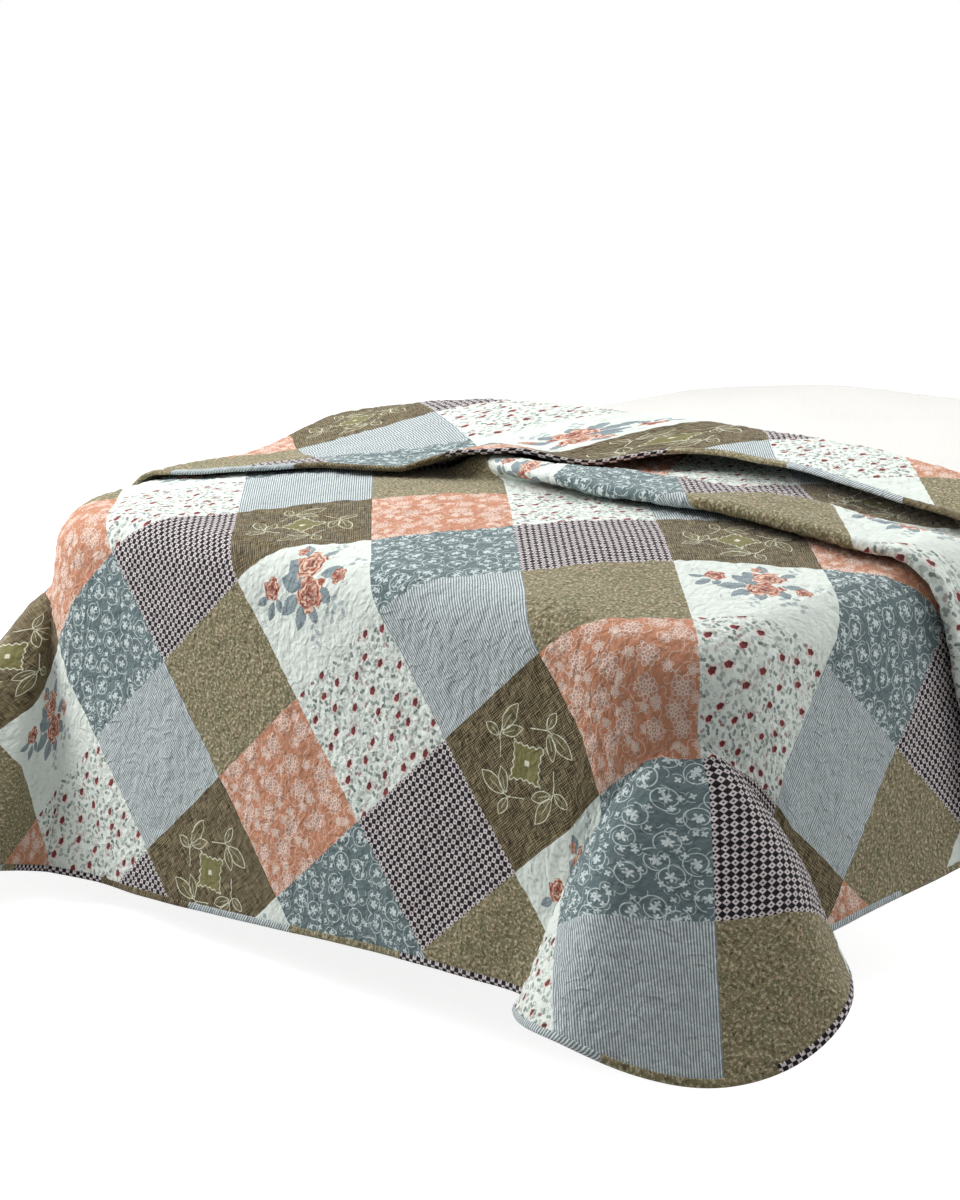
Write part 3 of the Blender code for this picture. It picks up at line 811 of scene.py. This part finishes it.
def stripe_print(patch):
    """Stripes along one side of the patch."""
    u, v = along_sides(patch)
    sides = add_node(patch.id_data, "ShaderNodeCombineXYZ", X=u, Y=v).outputs[0]
    broken = noise(sides, 260.0, 1.0, stretch=(1.0, 0.35, 1.0))
    line = wave(u, STRIPE_PITCH) * 1.1 + (broken * 1.2 - 0.25)
    return layered(STRIPE_SLATE, (line.clamped(), STRIPE_WHITE))


printed_cotton("stripe", (0.42, 0.46, 0.48), stripe_print)


# The scroll print: white vine scrolls and starry blossoms on slate teal.

SLATE_TEAL = (0.132, 0.184, 0.192)
SCROLL_WHITE = (0.66, 0.74, 0.735)
SCROLL_PITCH = 0.041
SPARK_PITCH = 0.0175


def scroll_print(patch):
    """Open rings of vine about 33 mm across with a blossom in each, and small blossoms between."""
    reach, angle = polar(scattered(patch, SCROLL_PITCH, 0.42)[0])
    turn = angle * (1 / (2 * math.pi)) + 0.5
    vine = stroke(reach - (turn * 0.0052 + 0.0122), 0.0014)
    bloom = inside(reach - (lobed(angle, 5) * 0.0058 + 0.0016), 0.0012)
    spot, chance, _ = scattered(patch, SPARK_PITCH, 0.8)
    near, bearing = polar(spot)
    spark = inside(near - (lobed(bearing, 4) * 0.0034 + 0.0012), 0.0010) * (chance > 0.25)
    tendril = stroke(near - (bearing * 0.0007 + 0.0066), 0.0011) * (bearing > 0.2)
    white = either(vine, bloom, spark, tendril * 0.8)
    return layered(SLATE_TEAL, (white * 0.92, SCROLL_WHITE))


printed_cotton("scroll", SLATE_TEAL, scroll_print)


# The coral print: white outlined lacy flowers, curls and stems on coral.

CORAL = (0.530, 0.242, 0.142)
LACE_WHITE = (0.86, 0.745, 0.66)
LACE_DOT = (0.46, 0.36, 0.36)
LACE_LINE = 0.00060
FLOWER_PITCH = 0.051
FLOWER_RADIUS = 0.0168
SMALL_PITCH = 0.0250
SMALL_RADIUS = 0.0092
CURL_PITCH = 0.0135

lace, given, result = new_group(
    "lace_flower", {"Place": "place", "Size": "value", "Petals": "value"}, {"Line": "value", "Dot": "value"}
)
reach, angle = polar(given["Place"])
share = reach / given["Size"]
width = LACE_LINE / given["Size"]
sector = 2 * math.pi / given["Petals"]


def ring_line(distance):
    """A thin drawn line in a flower's own scale."""
    return (1.4 - abs(distance) / width).clamped()


def petal_rings(out, size, turned):
    """Small rings set round the flower, each with a dot."""
    bearing = (calc("FRACT", angle / sector + turned) - 0.5) * sector
    x = share * sine(bearing)
    y = share * calc("COSINE", bearing) - out
    away = calc("SQRT", x * x + y * y)
    return ring_line(away - size), inside(away - size * 0.34, 0.08)


inner_rings, inner_dots = petal_rings(0.44, 0.14, 0.5)
outer_rings, outer_dots = petal_rings(0.76, 0.23, 0.0)
filled = inside(share - 0.86, 0.2) * 0.11
line = either(inner_rings, outer_rings, ring_line(share - 0.24), filled, share < 0.1)
fill(result, Line=line, Dot=either(inner_dots, outer_dots))


def coral_print(patch):
    """Large flowers, smaller ones between, and stems and curls that wander between them."""
    large, _, _ = scattered(patch, FLOWER_PITCH, 0.6)
    bloom = use_group(lace, Place=large, Size=FLOWER_RADIUS, Petals=8.0)
    clear = polar(large)[0] > FLOWER_RADIUS
    small, chance, _ = scattered(patch, SMALL_PITCH, 0.8)
    little = use_group(lace, Place=small, Size=SMALL_RADIUS, Petals=5.0)["Line"] * clear * (chance > 0.25)
    stem = stroke(noise(patch, 30.0, 0.0) - 0.5, 0.020) * clear
    tiny, chance, _ = scattered(patch, CURL_PITCH, 0.8)
    near, bearing = polar(tiny)
    curl = stroke(near - (bearing * 0.0009 + 0.0038), 0.0010) * (bearing > -1.2) * clear * (chance > 0.45)
    white = either(bloom["Line"], little, stem * 0.7, curl * 0.65)
    return layered(CORAL, (white * 0.88, LACE_WHITE), (bloom["Dot"] * 0.6, LACE_DOT))


printed_cotton("coral", CORAL, coral_print)


# The quilt's face: square printed patches set on point and sewn edge to edge, layered over a thin
# filling and quilted through with a wandering machine stitch that leaves the cloth puckered. It is
# draped over the mattress, tucked into a pleat towards the head and turned back over itself.

QUILT_WIDTH = 2.370
QUILT_LENGTH = 2.040
QUILT_THICK = 0.006
REST_GAP = 0.0003
FOOT_DROP = 0.555
CORNER_ROUND_ACROSS = 0.50
CORNER_ROUND_ALONG = 0.38
HEM_SKEW = 0.052
SKEW_WIDE = 0.5
SKEW_FADE = 0.5
HEM_ROOM = 0.06
BINDING_WIDTH = 0.012
BINDING_THICK = 0.009
FOOT_LEAN = math.radians(9.0)
SIDE_LEAN = math.radians(8.0)
FLUTE_EASE = 0.11
FLUTE_APEX = 0.10
FLUTE_NARROW = 0.30
NARROW_START = 0.10
NARROW_FALL = 0.35
FLUTE = (
    {"angle": -82, "out": None, "aside": None},
    {"angle": -71, "out": -0.22, "aside": -0.4},
    {"angle": -63, "out": -0.095, "aside": -0.355},
    {"angle": -56, "out": 0.03, "aside": -0.365},
    {"angle": -48, "out": 0.155, "aside": -0.415},
    {"angle": -38, "out": 0.31, "aside": -0.46},
    {"angle": -25, "out": 0.51, "aside": -0.41},
    {"angle": -12, "out": 0.59, "aside": -0.205},
    {"angle": 0, "out": 0.6, "aside": 0.0},
    {"angle": 12, "out": 0.59, "aside": 0.205},
    {"angle": 25, "out": 0.51, "aside": 0.41},
    {"angle": 38, "out": 0.31, "aside": 0.46},
    {"angle": 48, "out": 0.155, "aside": 0.415},
    {"angle": 56, "out": 0.03, "aside": 0.365},
    {"angle": 63, "out": -0.095, "aside": 0.355},
    {"angle": 71, "out": -0.22, "aside": 0.4},
    {"angle": 82, "out": None, "aside": None},
)
LAY = (
    {"across": -1.19, "fold": 0.84, "loft": 0.028, "pleat": 0.50, "tuck": 0.01, "turn": 0},
    {"across": -0.55, "fold": 0.87, "loft": 0.036, "pleat": 0.50, "tuck": 0.01, "turn": 0},
    {"across": -0.24, "fold": 0.94, "loft": 0.036, "pleat": 0.50, "tuck": 0.01, "turn": 0},
    {"across": -0.14, "fold": 0.97, "loft": 0.034, "pleat": 0.50, "tuck": 0.01, "turn": 70},
    {"across": -0.04, "fold": 1.00, "loft": 0.032, "pleat": 0.50, "tuck": 0.03, "turn": 145},
    {"across": 0.08, "fold": 1.02, "loft": 0.030, "pleat": 0.50, "tuck": 0.08, "turn": 174},
    {"across": 0.26, "fold": 1.02, "loft": 0.028, "pleat": 0.505, "tuck": 0.09, "turn": 178},
    {"across": 0.47, "fold": 1.01, "loft": 0.026, "pleat": 0.525, "tuck": 0.09, "turn": 178},
    {"across": 0.66, "fold": 1.01, "loft": 0.025, "pleat": 0.555, "tuck": 0.09, "turn": 178},
    {"across": 0.91, "fold": 1.01, "loft": 0.022, "pleat": 0.610, "tuck": 0.07, "turn": 178},
    {"across": 1.19, "fold": 1.02, "loft": 0.020, "pleat": 0.660, "tuck": 0.05, "turn": 178},
)
PLEAT_RADIUS = 0.010
PLEAT_HEIGHT = 0.034
FLAP_REST = 0.016
PLEAT_SETTLE = 0.15
FLAP_SETTLE = 0.34
STEP = 0.001
NUDGE = 0.001
PATCH_HALF = 0.16
CELLS = 22
EDGE_INSET = 0.006
PUFF_HEIGHT = 0.0022
PUFF_SOFT = 0.85
RIPPLE = 0.004


def through(places, values, at):
    """A smooth curve through the rows of a table, read at the places asked for."""
    places, values = np.asarray(places, float), np.asarray(values, float)
    at = np.clip(at, places[0], places[-1])
    row = np.clip(np.searchsorted(places, at, side="right") - 1, 0, len(places) - 2)
    gaps = np.diff(places)
    slopes = np.diff(values) / gaps
    lean = np.concatenate((
        slopes[:1],
        (slopes[:-1] * gaps[1:] + slopes[1:] * gaps[:-1]) / (gaps[:-1] + gaps[1:]),
        slopes[-1:],
    ))
    gap = gaps[row]
    t = (at - places[row]) / gap
    return (
        (2 * t**3 - 3 * t**2 + 1) * values[row]
        + (t**3 - 2 * t**2 + t) * gap * lean[row]
        + (3 * t**2 - 2 * t**3) * values[row + 1]
        + (t**3 - t**2) * gap * lean[row + 1]
    )


def straight_fall(angle, lean):
    """How far out and aside a plain drape leans, at an angle from the corner's diagonal."""
    side = np.sign(angle)
    past = np.clip(np.abs(angle) - math.pi / 4, 0.0, None)
    near = past <= 0.0
    half = math.sqrt(0.5)
    out = half * (np.cos(past) * np.sin(lean) - np.sin(past))
    aside = side * half * (np.cos(past) * np.sin(lean) + np.sin(past))
    out = np.where(near, np.sin(lean) * np.cos(angle), out)
    aside = np.where(near, np.sin(lean) * np.sin(angle), aside)
    return out, aside


def flute_row(row):
    """One fold line's lean, taken from the plain drape where the table leaves it open."""
    if row["out"] is not None:
        return row["out"], row["aside"]
    lean = FOOT_LEAN if row["angle"] < 0 else SIDE_LEAN
    out, aside = straight_fall(np.array(math.radians(row["angle"])), lean)
    return float(out), float(aside)


def laid(across, along):
    """Where the cloth lies that is cut at (across, along), along being 0 at the foot edge."""
    side, reach = np.sign(across), np.abs(across)
    flat_half, flat_foot = BED_HALF_WIDTH - MATTRESS_PLAN_RADIUS, MATTRESS_PLAN_RADIUS
    past_side = np.clip(reach - flat_half, 0.0, None)
    past_foot = np.clip(flat_foot - along, 0.0, None)
    past = np.hypot(past_side, past_foot) + 1e-9
    to_side, to_foot = past_side / past, past_foot / past
    lean = SIDE_LEAN * to_side**2 + FOOT_LEAN * to_foot**2
    level = MATTRESS_PLAN_RADIUS - MATTRESS_EDGE_RADIUS
    turned = np.clip((past - level) / MATTRESS_EDGE_RADIUS, 0.0, math.pi / 2 - lean)
    fall = np.clip(past - level - MATTRESS_EDGE_RADIUS * (math.pi / 2 - lean), 0.0, None)
    out = np.minimum(past, level) + MATTRESS_EDGE_RADIUS * np.sin(turned) + fall * np.sin(lean)
    down = MATTRESS_EDGE_RADIUS * (1.0 - np.cos(turned)) + fall * np.cos(lean)
    x = np.minimum(reach, flat_half) + out * to_side
    y = np.maximum(along, flat_foot) - out * to_foot
    z = -down - crown(across, along) - slump(x, y)
    angle = np.arctan2(reach - BED_HALF_WIDTH, -along) - math.pi / 4
    angle = np.where(fall > 0.0, angle, 0.0)
    degrees = np.degrees(angle)
    rows = [row["angle"] for row in FLUTE]
    leans = [flute_row(row) for row in FLUTE]
    plain_out, plain_aside = straight_fall(angle, lean)
    inside = (degrees > rows[0]) & (degrees < rows[-1])
    flute_out = np.where(inside, through(rows, [row[0] for row in leans], degrees), plain_out)
    flute_aside = np.where(inside, through(rows, [row[1] for row in leans], degrees), plain_aside)
    from_corner = np.hypot(reach - BED_HALF_WIDTH, along)
    eased_fall = fall**3 / (fall**2 + FLUTE_EASE**2) * eased(from_corner / FLUTE_APEX)
    more_out = eased_fall * (flute_out - plain_out) * math.sqrt(0.5)
    kept = 1.0 - FLUTE_NARROW * eased((fall - NARROW_START) / NARROW_FALL)
    more_aside = eased_fall * (flute_aside - plain_aside) * kept * math.sqrt(0.5)
    plain_drop = np.sqrt(np.clip(1.0 - plain_out**2 - plain_aside**2, 0.0, 1.0))
    flute_drop = np.sqrt(np.clip(1.0 - flute_out**2 - flute_aside**2, 0.0, 1.0))
    x = side * (x + more_out + more_aside)
    y = y - more_out + more_aside
    z = z - eased_fall * (flute_drop - plain_drop)
    return np.stack((x, y, z), -1)


def lay_at(across, name):
    """One column of the lay table, read at a place across the bed."""
    return float(through([row["across"] for row in LAY], [row[name] for row in LAY], across))


def thread(across, length):
    """How far along the bed, and how high above it, a lengthwise thread is at these lengths."""
    turn = math.radians(max(lay_at(across, "turn"), 0.0))
    tuck = lay_at(across, "tuck")
    bend = PLEAT_RADIUS * math.pi
    pleat_start = FOOT_DROP + lay_at(across, "pleat") + (tuck + PLEAT_RADIUS) * math.sin(turn / 2)
    second_start = pleat_start + bend + tuck
    second_end = second_start + bend
    run = np.arange(-HEM_ROOM, QUILT_LENGTH + STEP, STEP)
    turned = turn * (eased((run - pleat_start) / bend) - eased((run - second_start) / bend))
    ahead = np.concatenate(((0.0,), np.cumsum(np.cos(turned[1:]) * STEP))) - FOOT_DROP - HEM_ROOM
    height = np.concatenate(((0.0,), np.cumsum(np.sin(turned[1:]) * STEP)))
    height *= min(1.0, PLEAT_HEIGHT / max(height.max(), PLEAT_HEIGHT))
    height *= 1.0 - eased((run - second_end - tuck - PLEAT_RADIUS) / PLEAT_SETTLE)
    loft = lay_at(across, "loft")
    fold_at = lay_at(across, "fold") - loft
    past_pleat = run >= second_end
    fold_start = float(np.interp(fold_at, ahead[past_pleat], run[past_pleat]))
    round_fold = np.clip((run - fold_start) / loft, 0.0, math.pi)
    back = np.clip(run - fold_start - loft * math.pi, 0.0, None)
    folded = run > fold_start
    under = past_pleat & ~folded
    ahead_under, height_under = ahead[under], height[under]
    ahead = np.where(folded, fold_at + loft * np.sin(round_fold) - back, ahead)
    rest = 2 * loft - (2 * loft - FLAP_REST) * eased(back / FLAP_SETTLE)
    rest += np.interp(ahead, ahead_under, height_under)
    height = np.where(folded, loft * (1.0 - np.cos(round_fold)), height)
    height = np.where(back > 0.0, rest, height)
    return np.interp(length, run, ahead), np.interp(length, run, height)


def ripple(across, length):
    """The slack of the cloth: low, wide waves that stay clear of the mattress."""
    turn = 2 * math.pi
    first = np.sin(turn * (across / 0.31 + 0.35 * np.sin(turn * length / 0.83) + 0.13))
    second = np.sin(turn * (length / 0.27 + 0.40 * np.sin(turn * across / 0.61) + 0.41))
    third = np.sin(turn * (across / 0.143 + length / 0.52 + 0.25 * np.sin(turn * length / 0.37)))
    return RIPPLE * (1.0 + 0.45 * first + 0.25 * second + 0.30 * third) / 2


def mid_surface(across, length):
    """The middle of the cloth at points of its cut, in the bed's own frame."""
    ahead, height = np.empty(len(across)), np.empty(len(across))
    places, order = np.unique(np.round(across, 4), return_inverse=True)
    rows = np.argsort(order, kind="stable")
    for place, chosen in zip(places, np.split(rows, np.cumsum(np.bincount(order))[:-1])):
        ahead[chosen], height[chosen] = thread(float(place), length[chosen])
    height = height + QUILT_THICK / 2 + REST_GAP + ripple(across, length)
    here = laid(across, ahead)
    right = laid(across + NUDGE, ahead) - laid(across - NUDGE, ahead)
    forward = laid(across, ahead + NUDGE) - laid(across, ahead - NUDGE)
    up = np.cross(right, forward)
    up /= np.linalg.norm(up, axis=-1, keepdims=True)
    return here + up * height[:, None]


def square_to(across, length):
    """The direction out of the cloth's face at points of its cut."""
    low = np.clip(length - 2 * NUDGE, -HEM_ROOM, None)
    high = np.clip(length + 2 * NUDGE, None, QUILT_LENGTH)
    right = mid_surface(across + 2 * NUDGE, length) - mid_surface(across - 2 * NUDGE, length)
    up = np.cross(right, mid_surface(across, high) - mid_surface(across, low))
    return up / np.linalg.norm(up, axis=-1, keepdims=True)


def puff(across, length):
    """How far a face stands proud between the quilting lines."""
    return PUFF_HEIGHT * (1.0 - np.exp(-((meander(across, length, np.sin) / PUFF_SOFT) ** 2)))


def askew(across, length):
    """How far the foot hem strays from square: longer at the left, fading out along the quilt."""
    return HEM_SKEW * np.tanh(across / SKEW_WIDE) * (1.0 - eased(length / SKEW_FADE))


def squared(across, length):
    """The length that a point of the cut would be at if the foot hem were square."""
    plain = length
    for _ in range(8):
        plain = length - askew(across, plain)
    return plain


def to_outline(across, length, inset):
    """Points moved onto the cut's outline, this far in from its edge."""
    length = squared(across, length)
    half, far = QUILT_WIDTH / 2 - inset, QUILT_LENGTH - inset
    round_x, round_y = CORNER_ROUND_ACROSS - inset, CORNER_ROUND_ALONG - inset
    side, reach = np.sign(across), np.abs(across)
    to_x, to_y = reach - (QUILT_WIDTH / 2 - CORNER_ROUND_ACROSS), CORNER_ROUND_ALONG - length
    in_corner = (to_x > 0.0) & (to_y > 0.0)
    size = np.hypot(to_x / round_x, to_y / round_y) + 1e-9
    cell = PATCH_HALF / CELLS
    new_reach = np.where(~in_corner & (reach > half - cell), half, reach)
    new_length = np.where(~in_corner & (length < inset + cell), inset, length)
    new_length = np.where(~in_corner & (length > far - cell), far, new_length)
    new_reach = np.where(in_corner, reach + to_x / size - to_x, new_reach)
    new_length = np.where(in_corner, length - to_y / size + to_y, new_length)
    return side * new_reach, new_length + askew(side * new_reach, new_length)


def inside_cut(across, length, inset):
    """Whether points lie within the cut, this far in from its edge."""
    length = squared(across, length)
    half, far = QUILT_WIDTH / 2 - inset, QUILT_LENGTH - inset
    to_x = np.clip(np.abs(across) - (QUILT_WIDTH / 2 - CORNER_ROUND_ACROSS), 0.0, None)
    to_y = np.clip(CORNER_ROUND_ALONG - length, 0.0, None)
    size = np.hypot(to_x / (CORNER_ROUND_ACROSS - inset), to_y / (CORNER_ROUND_ALONG - inset))
    return (np.abs(across) < half) & (length > inset) & (length < far) & (size < 1.0)


def patched_sheet(name, zero, across_step, face, materials, replaces=()):
    """One face of the quilt: a grid whose cell diagonals follow the patch seams.

    The grid runs with m across and n along the cut, in half diagonals of a patch. A patch is a square
    of the lattice a = (n - m) / 2, b = (n + m) / 2, and its print follows from which square it is.
    """
    across_zero, length_zero = zero
    ends = sorted((edge - across_zero) / across_step for edge in (-QUILT_WIDTH / 2, QUILT_WIDTH / 2))
    first_p, last_p = math.floor(ends[0] * CELLS), math.ceil(ends[1] * CELLS)
    first_q = math.floor((-HEM_ROOM - length_zero) / PATCH_HALF * CELLS)
    last_q = math.ceil((QUILT_LENGTH - length_zero) / PATCH_HALF * CELLS)
    p, q = np.meshgrid(np.arange(first_p, last_p), np.arange(first_q, last_q), indexing="ij")
    middle_across = across_zero + across_step * (p + 0.5) / CELLS
    middle_length = length_zero + PATCH_HALF * (q + 0.5) / CELLS
    kept = inside_cut(middle_across, middle_length, EDGE_INSET)
    p, q = p[kept], q[kept]
    rows = last_q - first_q + 1
    corner = [(p - first_p + i) * rows + (q - first_q + j) for i, j in ((0, 0), (1, 0), (1, 1), (0, 1))]
    count = (last_p - first_p + 1) * rows
    uses = sum(np.bincount(index, minlength=count) for index in corner)
    number = np.arange(count)
    across = across_zero + across_step * (number // rows + first_p) / CELLS
    length = length_zero + PATCH_HALF * (number % rows + first_q) / CELLS
    on_rim = (uses > 0) & (uses < 4)
    across[on_rim], length[on_rim] = to_outline(across[on_rim], length[on_rim], EDGE_INSET)
    along_b = (p + q + 1) % (2 * CELLS) == 0
    along_a = (q - p) % (2 * CELLS) == 0
    rim_count = sum(on_rim[index].astype(int) for index in corner)
    inner_off = ~on_rim[corner[1]] | ~on_rim[corner[3]]
    split_b = np.where(rim_count == 3, inner_off, along_b) & ~(along_a & (rim_count < 3))
    low_a = np.where(split_b[:, None], np.column_stack((corner[0], corner[1], corner[3])),
                     np.column_stack((corner[0], corner[1], corner[2])))
    low_b = np.where(split_b[:, None], np.column_stack((corner[1], corner[2], corner[3])),
                     np.column_stack((corner[0], corner[2], corner[3])))
    triangles = np.concatenate((low_a, low_b))
    flat = np.column_stack((across, length))
    first, second, third = (flat[triangles[:, k]] for k in range(3))
    edge_one, edge_two = second - first, third - first
    size = np.abs(edge_one[:, 0] * edge_two[:, 1] - edge_one[:, 1] * edge_two[:, 0]) / 2
    triangles = triangles[size > 1e-7]
    used = np.unique(triangles)
    shifted = np.full(count, -1)
    shifted[used] = np.arange(len(used))
    triangles = shifted[triangles]
    across, length = across[used], length[used]
    outward = 1.0 if face == "front" else -1.0
    proud = outward * (QUILT_THICK / 2 - PUFF_HEIGHT / 2 + puff(across, length))
    points = on_bed(mid_surface(across, length) + square_to(across, length) * proud[:, None])
    if (across_step > 0) != (face == "front"):
        triangles = triangles[:, ::-1]
    m, n = (across - across_zero) / across_step, (length - length_zero) / PATCH_HALF
    centre_m, centre_n = m[triangles].mean(1), n[triangles].mean(1)
    i, j = np.floor((centre_n - centre_m) / 2), np.floor((centre_n + centre_m) / 2)
    corners = triangles.ravel()
    patch_m, patch_n = np.repeat(j - i, 3), np.repeat(i + j + 1, 3)
    patch_place = np.column_stack(((patch_m - m[corners]) * PATCH_HALF, (n[corners] - patch_n) * PATCH_HALF))
    sheet = new_piece(name, points, triangles.tolist(), materials, replaces)
    sheet.data.polygons.foreach_set("material_index", ((j + 3 * i) % len(materials)).astype(np.int32))
    for layer, place in (("patch", patch_place), ("cloth", np.column_stack((across, length))[corners])):
        sheet.data.uv_layers.new(name=layer).data.foreach_set("uv", place.astype(np.float32).ravel())
    return sheet


FACE_ZERO = (1.11896, 0.21212)
REVERSE_ZERO = (-0.60504, 1.14012)
FACE_PRINTS = list(PRINTS.values())

front = patched_sheet("quilt_face", FACE_ZERO, -PATCH_HALF, "front", FACE_PRINTS, ["quilt"])
reverse = patched_sheet("quilt_reverse", REVERSE_ZERO, PATCH_HALF, "reverse", FACE_PRINTS)


# The binding: a narrow strip of the same prints, doubled over the raw edge of the quilt and sewn
# through all its layers, so that it stands a little proud and puckers slightly along its length.

RING_STEP = 0.006
CORNER_ARC = 0.70
SECTION = (0.0, 0.2, 0.45, 0.65, 0.8, 0.9, 0.97)
ROUND_FROM = 0.45
STRIP_LENGTH = 0.24
STRIP_PRINTS = ("check", "embroidered", "stripe", "olive")


def ring_of_cut(inset):
    """Points along the cut's outline, anticlockwise seen from the face, from the foot hem's left end."""
    half, far = QUILT_WIDTH / 2 - inset, QUILT_LENGTH - inset
    flat_half = QUILT_WIDTH / 2 - CORNER_ROUND_ACROSS
    round_x, round_y = CORNER_ROUND_ACROSS - inset, CORNER_ROUND_ALONG - inset
    hem = np.linspace(-flat_half, flat_half, round(2 * flat_half / RING_STEP), endpoint=False)
    turn = np.linspace(0.0, math.pi / 2, round(CORNER_ARC / RING_STEP), endpoint=False)
    side = np.linspace(0.0, 1.0, round((QUILT_LENGTH - CORNER_ROUND_ALONG) / RING_STEP), endpoint=False)
    head = np.linspace(half, -half, round(QUILT_WIDTH / RING_STEP), endpoint=False)
    up = CORNER_ROUND_ALONG + (far - CORNER_ROUND_ALONG) * side
    down = far + (CORNER_ROUND_ALONG - far) * side
    pieces = (
        np.column_stack((hem, np.full(len(hem), inset))),
        np.column_stack((flat_half + round_x * np.sin(turn), CORNER_ROUND_ALONG - round_y * np.cos(turn))),
        np.column_stack((np.full(len(side), half), up)),
        np.column_stack((head, np.full(len(head), far))),
        np.column_stack((np.full(len(side), -half), down)),
        np.column_stack((-flat_half - round_x * np.cos(turn), CORNER_ROUND_ALONG - round_y * np.sin(turn))),
    )
    ring = np.concatenate(pieces)
    ring[:, 1] += askew(ring[:, 0], ring[:, 1])
    return ring


inner, outer = ring_of_cut(BINDING_WIDTH), ring_of_cut(0.0)
inner_mid, outer_mid = mid_surface(*inner.T), mid_surface(*outer.T)
inner_up, outer_up = square_to(*inner.T), square_to(*outer.T)
travel = np.concatenate(((0.0,), np.cumsum(np.linalg.norm(np.diff(outer, axis=0), axis=1))))
pucker = 1.0 + 0.06 * np.sin(2 * math.pi * travel / 0.021) + 0.05 * np.sin(2 * math.pi * travel / 0.034)
rows = []
for turn_side in (1.0, -1.0):
    shares = SECTION + (1.0,) if turn_side > 0 else SECTION[::-1]
    for share in shares:
        past_flat = max((share - ROUND_FROM) / (1.0 - ROUND_FROM), 0.0)
        thick = BINDING_THICK / 2 * math.sqrt(max(1.0 - past_flat**2, 0.0))
        middle = inner_mid + (outer_mid - inner_mid) * share
        up = inner_up + (outer_up - inner_up) * share
        rows.append(middle + up * (turn_side * thick * pucker)[:, None])
ring_points = np.stack(rows, 1)
stations, section = ring_points.shape[:2]
faces = []
for k in range(stations):
    n = (k + 1) % stations
    for s in range(section):
        t = (s + 1) % section
        faces.append((k * section + s, k * section + t, n * section + t, n * section + s))
binding = new_piece(
    "quilt_binding", on_bed(ring_points.reshape(-1, 3)), faces,
    [PRINTS[name] for name in STRIP_PRINTS], ["binding"]
)
strip = (travel[np.arange(stations).repeat(section)] / STRIP_LENGTH).astype(int) % len(STRIP_PRINTS)
binding.data.polygons.foreach_set("material_index", strip.astype(np.int32))
strip_v = np.tile(np.arange(section), stations) * BINDING_WIDTH * 2 / section
vertex_u = travel.repeat(section)
loop_vertex = np.array(faces).ravel()
for layer in ("patch", "cloth"):
    place = np.column_stack((vertex_u[loop_vertex] + 0.2, strip_v[loop_vertex]))
    binding.data.uv_layers.new(name=layer).data.foreach_set("uv", place.astype(np.float32).ravel())


# The studio: a plain pale floor under soft lamps, and the camera at the foot's right-hand corner.

FLOOR_GREY = (0.62, 0.62, 0.62)
FLOOR_GLOW = 0.84
SKY_LIGHT = 0.32
SKY_SEEN = 1.0

floor_mesh = bpy.data.meshes.new("floor")
floor_shape = bmesh.new()
bmesh.ops.create_grid(floor_shape, x_segments=1, y_segments=1, size=30.0)
floor_shape.to_mesh(floor_mesh)
floor_shape.free()
floor_paint, shader = new_material("floor", FLOOR_GREY, 0.9)
seen = Value(add_node(floor_paint.node_tree, "ShaderNodeLightPath").outputs["Is Camera Ray"])
fill(shader, Emission_Color=(1.0, 1.0, 1.0), Emission_Strength=seen * FLOOR_GLOW)
floor_mesh.materials.append(floor_paint)
floor = bpy.data.objects.new("floor", floor_mesh)
bpy.context.scene.collection.objects.link(floor)
floor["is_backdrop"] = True

world = bpy.data.worlds.new("studio")
bpy.context.scene.world = world
world.use_nodes = True
seen = Value(add_node(world.node_tree, "ShaderNodeLightPath").outputs["Is Camera Ray"])
strength = seen * (SKY_SEEN - SKY_LIGHT) + SKY_LIGHT
fill(world.node_tree.nodes["Background"], Color=(1.0, 1.0, 1.0), Strength=strength)

for name, size, power, place, target in (
    ("key", 2.2, 165.0, (-2.9, -2.0, 2.7), (0.0, -0.5, 0.5)),
    ("top", 2.4, 24.0, (-0.2, 0.2, 2.6), (0.0, -0.1, 0.6)),
    ("back", 2.4, 80.0, (2.5, 2.4, 2.7), (0.4, 0.0, 0.6)),
):
    lamp = bpy.data.lights.new(name, "AREA")
    lamp.size, lamp.energy = size, power
    light = bpy.data.objects.new(name, lamp)
    light.location = place
    light.rotation_euler = (Vector(target) - Vector(place)).to_track_quat("-Z", "Y").to_euler()
    bpy.context.scene.collection.objects.link(light)

CAMERA_AZIMUTH = math.radians(42.72)
CAMERA_ELEVATION = math.radians(13.83)
CAMERA_DISTANCE = 3.168
CAMERA_TARGET = on_bed((0.452, -0.100, 0.0))
ahead = Vector((
    -math.sin(CAMERA_AZIMUTH) * math.cos(CAMERA_ELEVATION),
    math.cos(CAMERA_AZIMUTH) * math.cos(CAMERA_ELEVATION),
    -math.sin(CAMERA_ELEVATION),
))
camera_data = bpy.data.cameras.new("camera")
camera_data.sensor_fit = "AUTO"
camera_data.sensor_width = 36.0
camera_data.lens = 68.7
camera = bpy.data.objects.new("camera", camera_data)
camera.location = Vector(CAMERA_TARGET) - ahead * CAMERA_DISTANCE
camera.rotation_euler = ahead.to_track_quat("-Z", "Y").to_euler()
bpy.context.scene.collection.objects.link(camera)
bpy.context.scene.camera = camera
bpy.context.scene.view_settings.view_transform = "Standard"

low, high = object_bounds()
